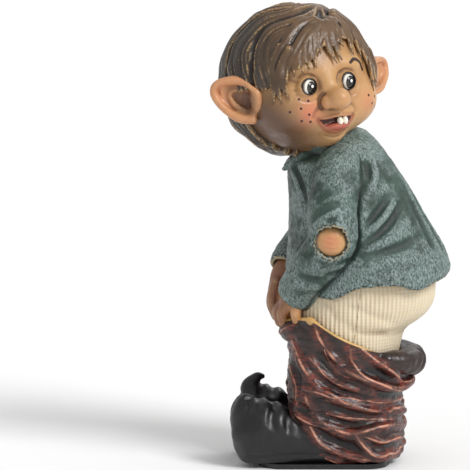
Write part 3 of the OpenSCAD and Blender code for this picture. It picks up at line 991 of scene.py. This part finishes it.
HEM = ((-20, 60.6), (-8, 61.6), (0.7, 63.4), (10.6, 66.4), (21.5, 66.8), (32, 66.4), (46, 69.6))
WAIST = ((-20, 53), (-14, 54.6), (-7, 54.8), (0, 50.8), (10.6, 44.9), (20, 42.4), (34, 40.4))
SEAM_DEPTH, SEAM_WIDTH = 1.0, 1.3  # groove where a sleeve meets the tunic
COLLAR_FRONT = ((8.5, -15), (3.5, -12.5), (0, -8))  # depth below the top of the tunic, and its front there
COLLAR_POINTS = (
    ((-7, -7, 113, 2.6), (-12.6, -5.4, 110.6, 2.2), (-17, -4, 107.6, 0.9)),
    ((-7, 7, 113, 2.6), (-12.6, 4.4, 110.6, 2.2), (-16.4, 3, 108, 0.9)),
)
# Folds of the tunic on the shown side: path in x and z, height and width
TUNIC_FOLDS = (
    (((8.4, 116), (9.4, 109), (11.3, 99.5)), -2.0, 2.8),
    (((10.4, 117), (14.6, 112), (15.4, 106), (12.6, 99)), 1.3, 1.9),
    (((12, 113), (12.8, 108), (12.2, 103)), -1.3, 2.0),
    (((9.6, 88), (13, 90.6), (17, 95), (20.8, 100.6)), -1.9, 2.2),
    (((10.4, 85.6), (15, 88.6), (19.6, 93.4), (23, 99)), 1.4, 2.0),
    (((9.5, 83), (15.4, 85.6), (21, 90.6), (25.8, 98)), -1.9, 2.4),
    (((10, 80.6), (17, 82.6), (24, 87), (29, 93)), 1.2, 2.6),
    (((10, 77.4), (18, 80), (26, 82.4), (33, 86)), -1.3, 3.0),
    (((11, 73.6), (20, 76), (28, 77.4), (37, 77)), 0.9, 3.4),
    (((12, 70.6), (22, 72.4), (30, 73), (38, 71.6)), -0.8, 3.0),
    (((15, 64), (16.6, 70), (18, 75)), -1.1, 2.6),
    (((27, 64), (28.4, 71), (28, 77)), -0.9, 2.8),
    (((21, 64), (22.4, 70), (23, 76)), 0.9, 2.6),
    (((-10.9, 113), (-9.5, 99), (-8.7, 90)), -1.1, 1.5),
    (((-12.8, 112), (-11.6, 100), (-11, 90)), 0.9, 1.6),
)


def hem_height(x, y):
    """Wavy hem of the tunic, over the whole plan."""
    turn = np.arctan2(y, x - 12)
    return curve_at(x, HEM) + 0.7 * np.cos(5 * turn + 0.6) + 0.35 * np.cos(11 * turn)


def waist_height(x, y):
    """Waistband of the dropped breeches, over the whole plan."""
    return curve_at(x, WAIST) + 0.5 * np.sin(y / 3 + x / 4)


def trim_under(s, node):
    """Cuts away what is below the top of a CAD node."""
    floor = node_box(node)[1][2]
    trim(s, lambda x, y: floor, above=False)


def tunic_rows():
    low, high = node_box("tunic_shell")
    rows = sections("tunic_shell", np.linspace(low[2] + 10, high[2] - 1, 14))
    tops = np.array(COLLAR_FRONT)
    fronts = np.interp(rows[:, 0], high[2] - tops[:, 0], tops[:, 1])
    rows[:, 1] = np.where(rows[:, 0] > high[2] - tops[0, 0], fronts, rows[:, 1])
    hem_row = rows[0] + vec(-14, 0.5, -1.5, -0.4)
    return np.vstack([hem_row, rows, [high[2] + 0.6, -2, 7, 4]])


def seam_gap(forms, p):
    """Distance from points to the surface of other forms, made larger over the shoulder to hide the seam. It
    places the groove, and the dark wash with painted shade, where the parts meet.
    """
    return np.abs(np.min([form(*p.T) for form in forms], axis=0)) + 3 * smooth_step(p[:, 2], 100, 108)


def build_tunic(material):
    rows = tunic_rows()
    s = Sculpt((-20, -31, 57), (46, 31, 125), STEP["tunic"])
    s.join(loft(rows))
    s.shift(lambda p: 0.5 * lattice_noise(p, 12, 21), reach=4)
    for path, height, width in TUNIC_FOLDS:
        for side in (-1, 1):
            move = 1.5 if side > 0 else 0  # the two sides are not quite alike
            s.crease([(x + move, z - move) for x, z in path], 1.5 * height, width, side, fade=0.5)
    for point in COLLAR_POINTS:
        s.join(tube(point), 1.2)
    for y in (-13, -4.5, 4, 12.5):
        back = [(40, y, 72), (34, y * 0.8, 88), (25, y * 0.5, 104)]
        s.press(back, -0.9, 3.6)
        s.press([(x, y + 4.2, z) for x, y, z in back], 0.7, 3.6)
    arms = [tube(spots)[2] for spots in SLEEVES.values()]
    s.shift(lambda p: -SEAM_DEPTH * np.exp(-(seam_gap(arms, p) / SEAM_WIDTH) ** 2))
    trim(s, hem_height, above=False)
    inner = rows - vec(0, -2.2, 2.2, 2.2)
    inner[:, 1] = rows[:, 1] + 2.2
    s.carve(loft(inner[inner[:, 0] < 76]), 0.8)
    s.roughen(1.3, 0.16, 23)

    def marks(p):
        # seam: distance to the sleeves, for the dark wash and painted shade where they meet the tunic
        return {"rim": np.abs(p[:, 2] - hem_height(p[:, 0], p[:, 1])), "seam": seam_gap(arms, p)}

    finish_piece("tunic", s, material, "tunic_shell", marks)


# Sleeve of the shown arm and of the other arm: x, y, z and radius, from shoulder to cuff
SLEEVES = {
    "sleeve_left": (
        (2.5, -15.5, 110.5, 7.4), (1.4, -19, 105.5, 8.6), (0, -22.4, 95, 8.8), (0, -23.2, 84.5, 8.9),
        (-4.6, -19.4, 76, 8.4), (-9, -14.6, 69, 8.0), (-10.8, -12.4, 65.4, 8.0),
    ),
    "sleeve_right": (
        (2, 15.5, 110.5, 7.4), (0, 19, 105.5, 8.4), (-2.6, 23, 95, 8.6), (-3, 24, 86, 8.6),
        (-7.4, 20.4, 79.4, 8.2), (-12.2, 14.8, 74.4, 7.6), (-14.2, 12, 71.6, 7.2),
    ),
}
# Creases of a sleeve: path in x and z on its outer side, height and width
SLEEVE_FOLDS = (
    (((-7.6, 84), (-4, 90), (2, 93.4)), -0.9, 2.2),
    (((-8, 87.4), (-3.6, 92.6), (3, 96.4)), 0.8, 2.4),
    (((-7.8, 92), (-2.6, 96.6), (4.4, 99)), -0.8, 2.4),
    (((-6.4, 99), (-1, 102), (5.4, 103)), -0.6, 2.4),
    (((-10, 78), (-6.4, 81.6), (-5, 85.4)), -0.8, 2.0),
    (((8, 78.6), (5, 77), (0, 75.4)), -0.8, 2.2),
    (((6.4, 74.4), (2, 73), (-4, 72)), -0.7, 2.2),
    (((-13.6, 73), (-8, 70.4), (-1, 70.6)), -0.8, 2.2),
    (((-15.4, 69.4), (-10, 67), (-3, 67.4)), 0.7, 2.2),
)


def elbow_hole_distance(p, middle, radius):
    """Distance in x and z to the ragged edge of the worn hole."""
    d = p - middle
    turn = np.arctan2(d[..., 2], d[..., 0])
    ragged = radius + 0.16 * np.cos(5 * turn + 1) + 0.14 * np.cos(13 * turn)
    ragged = ragged + 0.2 * np.cos(21 * turn + np.cos(3 * turn))
    return np.hypot(d[..., 0], d[..., 2]) - ragged


def wear_elbow(s, hole):
    """Wears the hole through a sleeve, with a raised rim and pulled threads."""
    low, high = node_box("elbow_left")
    radius = (high - low)[0] / 2 + 0.3

    def spot(out, turn):
        return hole[0] + (radius + out) * math.cos(turn), hole[2] + (radius + out) * math.sin(turn)

    s.crease([spot(0.9, turn) for turn in np.linspace(0, TAU, 17)], 0.9, 1.5, fade=0.01)
    for turn in np.linspace(0, TAU, 19)[:-1]:
        s.crease([spot(out, turn) for out in (0.6, 2.4)], -0.5, 0.6)

    def cut(x, y, z):
        p = np.stack(np.broadcast_arrays(x, y, z), -1)
        return np.maximum(elbow_hole_distance(p, hole, radius), y - (low[1] + 2.6))

    s.carve((hole - radius - 2, hole + radius + 2, cut), 0.3)


def build_sleeve(node, material):
    side = -1 if node == "sleeve_left" else 1
    rows = np.array(SLEEVES[node])
    s = Sculpt((rows[:, :3] - 10.5).min(0), (rows[:, :3] + 10.5).max(0), STEP["sleeve"])
    s.join(tube(rows), 1)
    s.shift(lambda p: 0.45 * lattice_noise(p, 8, 31), reach=4)
    for path, height, width in SLEEVE_FOLDS:
        s.crease(path, height, width, side)
    cuff, before = rows[-1], rows[-2]
    along = unit(cuff[:3] - before[:3])
    mouth = cuff[:3] + along * cuff[3] * 0.62
    s.join(tube([(*(cuff[:3] + along * 1.5), cuff[3] - 0.2), (*(cuff[:3] + along * 3), cuff[3] - 0.6)]), 1)
    s.carve(everywhere(lambda *at: -sum((at[i] - mouth[i]) * along[i] for i in range(3))), 0.8)
    s.carve(tube([(*(mouth + along * 3), cuff[3] - 1.8), (*(mouth - along * 5), cuff[3] - 2.6)]), 0.6)
    hole = np.full(3, FAR * 16)
    if side < 0:
        hole = node_middle("elbow_left")
        wear_elbow(s, hole)
    s.roughen(1.3, 0.15, 33)
    body = [loft(tunic_rows())[2]]

    def marks(p):
        edge = np.abs((p - mouth) @ along) + 0.1
        worn = np.abs(elbow_hole_distance(p, hole, 6.1)) * 1.6 + np.where(p[:, 1] > hole[1] + 3, AFAR, 0)
        # seam: distance to the tunic, for the dark wash and painted shade where the sleeve meets it
        return {"rim": np.minimum(edge, worn), "seam": seam_gap(body, p)}

    finish_piece(node + "_cloth", s, material, node, marks)


def build_elbow(skin):
    low, high = node_box("elbow_left")
    middle = (low + high) / 2
    s = Sculpt(low - 2, high + 2, STEP["elbow"])
    wide, deep, _ = high - low
    s.join(ball((middle[0], high[1], middle[2]), (wide / 2 + 0.8, deep - 0.5, wide / 2 + 0.8)))
    for rise in (-2.2, -0.4, 1.4):
        line = [(middle[0] + x, middle[2] + rise + z) for x, z in ((-2.6, 0), (0, -0.5), (2.6, 0))]
        s.crease(line, -0.3, 0.8)

    def marks(p):
        out = np.hypot(p[:, 0] - middle[0], p[:, 2] - middle[2])
        return bare_marks(p, smooth_step(-out, -5, -1) * 0.6, smooth_step(out, 4.4, 5.6))

    finish_piece("elbow_skin", s, skin, "elbow_left", marks)


# Fingers from knuckle to tip: x, y, z and radius
HANDS = {
    "hand_left": (
        ((-12.6, -11, 64, 4.2), (-14.4, -9.6, 59.5, 4.4), (-15.8, -8, 56.6, 3.4)),
        ((-12.4, -14.2, 60, 2.2), (-13, -14.6, 56.6, 2.0), (-12.6, -13.6, 53.6, 1.7)),
        ((-15.4, -12.2, 59, 2.2), (-17.8, -11.4, 55.8, 2.0), (-17.4, -10.2, 52.2, 1.7)),
        ((-16.6, -9.2, 59, 2.2), (-19.2, -8.2, 55.4, 2.0), (-18.6, -7.2, 51.8, 1.7)),
        ((-17, -6, 59, 2.1), (-19.6, -5, 55.6, 1.9), (-19, -4.2, 52.2, 1.6)),
    ),
    "hand_right": (
        ((-14.6, 11.4, 71.6, 4.2), (-17, 8.4, 67, 4.7), (-18.4, 5.4, 62.6, 4.2)),
        ((-15.6, 1.6, 66, 2.1), (-17.4, -0.6, 60.6, 1.9), (-17.6, -1.4, 56.4, 1.6)),
        ((-19.6, 2.8, 64.6, 2.3), (-21, 1.2, 58.6, 2.1), (-19.6, 0.4, 53, 1.8)),
        ((-19.8, 5.8, 64, 2.3), (-21.4, 4.4, 57.6, 2.1), (-19.8, 3.6, 52.4, 1.8)),
        ((-19, 8.8, 64, 2.2), (-20.6, 7.6, 58, 2.0), (-19.2, 6.8, 52.8, 1.7)),
    ),
}


def build_hand(node, skin):
    limbs = np.array([row for finger in HANDS[node] for row in finger])
    s = Sculpt((limbs[:, :3] - 6).min(0), (limbs[:, :3] + 6).max(0), STEP["hand"])
    for finger in HANDS[node]:
        s.join(tube(finger), 0.7)
    finish_piece(node + "_skin", s, skin, node, hand_marks)


def build_drawers(material):
    """Knitted cloth over one smooth rounded form."""
    low, high = node_box("drawers_shell")
    rows = sections("drawers_shell", np.linspace(low[2] + 3, high[2] - 1, 24))
    s = Sculpt((-19, -27, 34), (43, 27, 80), STEP["drawers"])
    s.join(loft(rows))
    drapes = (
        (((24, 53), (14, 57.5), (2, 62)), -0.45, 3.0), (((25, 51.4), (13, 53.4), (1, 57)), 0.4, 2.6),
        (((22, 50), (12, 50), (4, 52.6)), -0.45, 2.4), (((-6, 64), (0, 58), (2, 52.4)), -0.4, 2.4),
    )
    for path, height, width in drapes:
        for side in (-1, 1):
            s.crease(path, height, width, side)

    def marks(p):
        turn = np.arctan2(p[:, 1], p[:, 0] - 12)
        seam = np.abs(p[:, 0] - (9 + 0.12 * (p[:, 2] - 55)))
        return {"around": turn * 24, "level": p[:, 2], "stitch": seam + 0.12}

    finish_piece("drawers", s, material, "drawers_shell", marks)


# One leg of the breeches: x, y, z and radius, from hip to heel
LEG = ((-6, 12, 46, 8.4), (-6, 12.6, 34, 9.4), (-6, 12.6, 24, 9.8), (-4, 12.2, 14, 10.2), (4, 12, 8, 9.6))
# Rolled-over cloth at the back
ROLL = ((20, -18, 39.6, 2.6), (27, -12, 38, 4.2), (29.6, 0, 37, 5), (27, 12, 38, 4.2), (20, 18, 39.6, 2.6))
# Where the waistband's knot lies, before it is moved on to the surface
KNOT = vec((-10.4, -17.6, 55.2), (-7.6, -19.6, 54.6), (-4.6, -20.8, 52.4))
# Crests of the breeches' folds on the shown side, in x and z, with height and width
CRESTS = (
    (((-6, 53), (-3.4, 46.4), (4, 37.4), (13, 32.6), (24, 29.4)), 2.4, 3.4),
    (((6.6, 44.8), (7.8, 39.4), (14.2, 33), (24.6, 28.4)), 2.0, 2.8),
    (((11, 44.4), (18.6, 38), (27.6, 30)), 1.9, 2.8),
    (((-14, 46), (-10, 37), (-6.4, 32.6), (1, 27), (6.9, 24), (17.2, 20.6), (28, 18.6)), 2.4, 3.6),
    (((-8, 41), (0, 33), (8, 30), (16, 28)), 1.4, 2.6),
    (((-10.4, 29.6), (-5, 29), (1, 26.6)), 1.5, 2.4),
    (((-9.6, 27), (-7.7, 22.6), (-3.4, 17.6), (6.9, 13.6), (18.6, 15.4), (28, 12.6)), 2.4, 3.4),
    (((-2, 26), (6, 26.4), (14, 25.4), (27, 24)), 1.2, 2.4),
    (((-13, 20), (-6, 16.6), (0, 15.4)), 1.4, 2.2),
    (((-7.8, 15.6), (-3.4, 9.4), (5.6, 5.4), (13.6, 3.6)), 2.0, 2.8),
    (((8, 14), (13, 7.4), (17.4, 4.8), (27, 5.2)), 2.0, 2.8),
    (((12, 12.6), (18.2, 10.4), (24, 10.6), (28.6, 9.4)), 1.8, 2.8),
    (((-2, 21), (4, 19.6), (12, 18.6), (22, 17)), 1.1, 2.4),
    (((-15, 36), (-13, 30), (-12.4, 24)), 1.2, 2.2),
    (((-3, 44), (0, 38), (8, 33.6)), 1.0, 2.2),
)
WRAPS_FROM = 23  # a crest that ends further back than this goes on round to the other side
# Crests across the front, in height, with height and width of the crest
FRONT_CRESTS = ((46.6, 1.2, 2.4), (39, 1.8, 3.0), (31.4, 1.5, 2.6), (25, 1.2, 2.4))
FRONT_EDGE = ((-16, 27), (-15, 20.4), (-12.2, 14.2), (-8.6, 8.8), (-3.6, 5), (2, 2.6), (12, 1.4))


def crest_path(s, points, height):
    """The line that a crest follows on the surface, with the crest's height."""
    return s.snapped(smooth_path(s.snapped(points), 8)), height


def breeches_form():
    """Upright form of the breeches, a little inside the CAD's averaged sections, with a lip at the top."""
    low, high = node_box("breeches_shell")
    heights = np.linspace(low[2] + 1, high[2] - 12, 12)
    levels = [np.clip(heights + d, low[2] + 0.6, high[2] - 11) for d in np.linspace(-4, 4, 5)]
    rows = np.mean([sections("breeches_shell", level) for level in levels], axis=0)
    rows[:, 0] = heights
    rows += vec(0, 0.7, -0.9, -0.9)
    return loft(np.vstack([rows, rows[-1] + vec(16, -3, -1.4, -1)]))


def fold_breeches(s):
    """Raises all the folds and gives the lines of their crests."""
    found = []
    for path, height, width in CRESTS:
        curves = [s.front(path), s.front([(x + 0.8, z + 2.2) for x, z in path[::-1]], 1)]
        if path[-1][0] > WRAPS_FROM:
            (x, _, near_z), (_, _, far_z) = curves[0][-1], curves[1][0]
            curves = [np.vstack([curves[0], (x + 5, 0, (near_z + far_z) / 2), curves[1]])]
        for points in curves:
            s.press(points + vec(0, 0, 3.2), -2.2, 3.2, fade=0.3)
            s.press(points, height, width, sharp=True, fade=0.12)
            found.append(crest_path(s, points, height))
    for z, height, width in FRONT_CRESTS:
        points = [(-13, -14, z + 5), (-17, -6, z + 1.6), (-17, 3, z), (-15, 12, z + 3)]
        s.press(points, height, width, sharp=True)
        found.append(crest_path(s, points, height))
    for points in (s.front(FRONT_EDGE), s.front([(x, z + 3) for x, z in FRONT_EDGE], 1)):
        s.press(points, 1.3, 2.2, sharp=True)
        found.append(crest_path(s, points, 1.5))
    return found


def roll_back_waist(s):
    """Rolled-over cloth behind the legs, with ridges across it."""
    s.join(tube(ROLL), 1.5)
    s.join(tube([(*spot, r) for spot, r in zip(s.snapped(KNOT), (0.8, 1.3, 0.7))]), 0.5)
    for start in (-14, -6, 3, 11):
        bend = [(24, start, 34), (32, start * 0.8 + 2, 38), (30, start * 0.7 + 4, 42)]
        s.press(bend, 1.2, 2.2, sharp=True)
        s.press([(x, y + 3.4, z) for x, y, z in bend], -1.0, 2.4)


def build_breeches(material):
    s = Sculpt((-22, -29, 1), (37, 29, 60), STEP["breeches"])
    form = breeches_form()
    s.join(form)
    for side in (-1, 1):
        s.join(tube([(x, y * side, z, r) for x, y, z, r in LEG]), 4)
    s.join(ball((-14.6, -6, 50), (3.8, 8, 5.6)), 2.5)
    s.shift(lambda p: 0.6 * lattice_noise(p, 7, 41), reach=4)
    crests = fold_breeches(s)
    s.shift(lambda p: 0.35 * lattice_noise(p * vec(0.35, 1, 1.6), 1.6, 43))
    trim(s, waist_height, above=True)
    roll_back_waist(s)
    trim(s, lambda x, y: curve_at(x, FRONT_EDGE + ((40, 0.5),)) - 1.2, above=False)
    trim_under(s, "base_plate")
    inner = sections("drawers_shell", np.linspace(36, 60, 6)) + vec(0, -0.3, 0.3, 0.3)
    s.carve(loft(inner), 0.5)

    def marks(p):
        crest = np.full(len(p), AFAR)
        for path, height in crests:
            keep = np.all((p > path.min(0) - 4) & (p < path.max(0) + 4), axis=1)
            best = np.minimum(nearest_on(path, p[keep])[0], AFAR)
            crest[keep] = np.minimum(crest[keep], best * (1.4 / (height + 0.2)))
        above = p[:, 2] - waist_height(p[:, 0], p[:, 1])
        within = np.minimum(form[2](*p.T) + 0.9, 0)
        rim = np.hypot(above, within) + 1.2 * smooth_step(p[:, 0], 10, 23)
        return {"crest": crest, "rim": np.minimum(rim, np.linalg.norm(p - KNOT[1], axis=1) - 1.2)}

    finish_piece("breeches", s, material, "breeches_shell", marks)


# Shoe of the shown side: x, z and radius along the foot, up the ankle and round the curled toe
SHOE = (
    ((12, 7, 6), (2, 8, 7.4), (-8, 9.2, 9), (-17, 11.2, 10.2), (-24.8, 12.9, 11.7)),
    ((12, 6.2, 6), (2, 6.4, 7), (-8, 6.8, 8), (-25, 7.6, 9.4)),
    ((-4, 14, 7.4), (-6, 20, 6), (-7, 23, 5)),
)
SHOE_GAP = 0.3  # from the middle plane to a shoe's flat inner wall
INSTEP = ((-14.6, 12, 23, -0.8), (-17.8, 13, 23.4, 0.7), (-20.8, 14, 24, -0.9), (-11.4, 11, 22, -0.6))
# Curled toes of the shoes on the shown and the other side
TOES = {
    "shoe_left": ((-27, 17, 7.8), (-31, 20.8, 4.6), (-31.6, 23.2, 3.0), (-29.8, 24.8, 2.0)),
    "shoe_right": (
        (-25, 17, 7.8), (-28.4, 22.6, 4.6), (-28.6, 26, 3.2), (-26.8, 28.2, 2.4), (-25, 28.6, 1.5),
    ),
}


def build_shoe(node, material):
    low, high = node_box(node)
    middle = (low[1] + high[1]) / 2
    side = -1 if middle < 0 else 1
    s = Sculpt((low[0] - 4, low[1] - 3, 1), (high[0] + 3, high[1] + 3, high[2] + 8), STEP["shoe"])
    for path in (*SHOE, TOES[node]):
        s.join(tube([(x, middle, z, r) for x, z, r in path]), 3)
    s.shift(lambda p: 0.8 * lattice_noise(p, 6, 51 + side), reach=4)

    def over_foot(x, forward, z, rise):
        low_end = [(x, middle + way * 7 * side, z - rise) for way in (1, -1)]
        return [low_end[0], (x + forward, middle, z + rise), low_end[1]]

    for x, bottom, top, depth in INSTEP:
        s.crease([(x, bottom), (x - 0.8, (bottom + top) / 2), (x + 0.6, top)], depth, 2.6, side)
        s.press(over_foot(x, 0.5, top, 3), depth, 2.6)
    for x, z in ((-30, 20), (-26.4, 22.4)):
        s.press(over_foot(x + 1, -1, z - 1, 3), -0.9, 2.0)
    sole = [(x, 5.4) for x in (-33, -26, -16, -6, 4)]
    s.crease(sole, -0.6, 1.2, side)
    trim_under(s, "base_plate")
    s.carve(everywhere(lambda x, y, z: side * y - SHOE_GAP), 0.6)
    finish_piece(node + "_leather", s, material, node)


# ---- Put together -------------------------------------------------------------------------

IMAGE_MIDDLE_X = -34.9  # what the camera looks at, in millimetres
IMAGE_MIDDLE_Z = 82.8
VIEW_HEIGHT = 171.1
ELEVATION = math.radians(8)
CAMERA_AWAY = 1.6
WORLD_LIGHT = 0.58
SENSOR = 36.0


def add_camera():
    data = bpy.data.cameras.new("camera")
    camera = bpy.data.objects.new("camera", data)
    bpy.context.collection.objects.link(camera)
    back = Vector((0, -math.cos(ELEVATION), math.sin(ELEVATION)))
    camera.location = Vector((IMAGE_MIDDLE_X * MM, 0, IMAGE_MIDDLE_Z * MM)) + back * CAMERA_AWAY
    camera.rotation_mode = "QUATERNION"
    camera.rotation_quaternion = (-back).to_track_quat("-Z", "Y")
    data.sensor_width = SENSOR
    data.lens = SENSOR * CAMERA_AWAY / (VIEW_HEIGHT * MM)
    data.clip_end = 20
    bpy.context.scene.camera = camera
    bpy.context.scene.view_settings.view_transform = "Standard"


def add_sun(name, towards, strength, softness):
    """Even light that comes from a direction, so that the floor stays one brightness."""
    data = bpy.data.lights.new(name, "SUN")
    data.energy, data.angle = strength, math.radians(softness)
    light = bpy.data.objects.new(name, data)
    bpy.context.collection.objects.link(light)
    light.rotation_mode = "QUATERNION"
    light.rotation_quaternion = Vector(towards).to_track_quat("Z", "Y")


def add_stage():
    material = bpy.data.materials.new("pale_floor")
    material.use_nodes = True
    surface = material.node_tree.nodes["Principled BSDF"]
    surface.inputs["Base Color"].default_value = (0.93, 0.93, 0.93, 1)
    surface.inputs["Roughness"].default_value = 0.9
    reach = 6.0
    mesh = bpy.data.meshes.new("floor")
    corners = [(x * reach, y * reach, 0) for x, y in ((-1, -1), (1, -1), (1, 1), (-1, 1))]
    mesh.from_pydata(corners, [], [(0, 1, 2, 3)])
    floor = bpy.data.objects.new("floor", mesh)
    bpy.context.collection.objects.link(floor)
    mesh.materials.append(material)
    world = bpy.data.worlds.new("studio")
    bpy.context.scene.world = world
    world.use_nodes = True
    world.node_tree.nodes["Background"].inputs["Color"].default_value = (1, 1, 1, 1)
    world.node_tree.nodes["Background"].inputs["Strength"].default_value = WORLD_LIGHT


def paint_inner_nodes():
    """CAD nodes that no piece stands for."""
    steel = plain_paint("pin_steel", rgb(170, 170, 168), rgb(140, 140, 138), 1.5, 0.3, 1.0)
    resin = plain_paint("resin_core", rgb(206, 196, 176), rgb(188, 176, 156), 3, 0.6)
    rubber = plain_paint("plug_rubber", rgb(34, 34, 34), rgb(22, 22, 22), 1, 0.8)
    black = plain_paint("plate_black", rgb(26, 26, 28), rgb(40, 39, 40), 4, 0.35)
    looks = {"arm_pins": steel, "shoe_pins": steel, "neck_spigot": resin}
    looks.update(vent_plug=rubber, base_plate=black)
    for node, material in looks.items():
        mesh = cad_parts[node].data
        mesh.materials.clear()
        mesh.materials.append(material)


skin = skin_paint()
cloth = tunic_paint()
leather = shoe_paint()
glossy = eye_paint()
add_camera()
add_stage()
add_sun("key", (0.72, -0.62, 0.8), 2.15, 24)
add_sun("rim", (0.3, 0.8, 0.7), 0.4, 30)
build_head(skin)
build_ear("ear_left", 1, skin)
build_ear("ear_right", -1, skin)
build_eye("eye_left", glossy)
build_eye("eye_right", glossy)
build_teeth(plain_paint("tooth_paint", rgb(246, 242, 230), rgb(226, 214, 188), 1.2, 0.2))
build_hair(hair_paint())
build_tunic(cloth)
build_sleeve("sleeve_left", cloth)
build_sleeve("sleeve_right", cloth)
build_elbow(skin)
build_hand("hand_left", skin)
build_hand("hand_right", skin)
build_drawers(drawers_paint())
build_breeches(breeches_paint())
build_shoe("shoe_left", leather)
build_shoe("shoe_right", leather)
paint_inner_nodes()
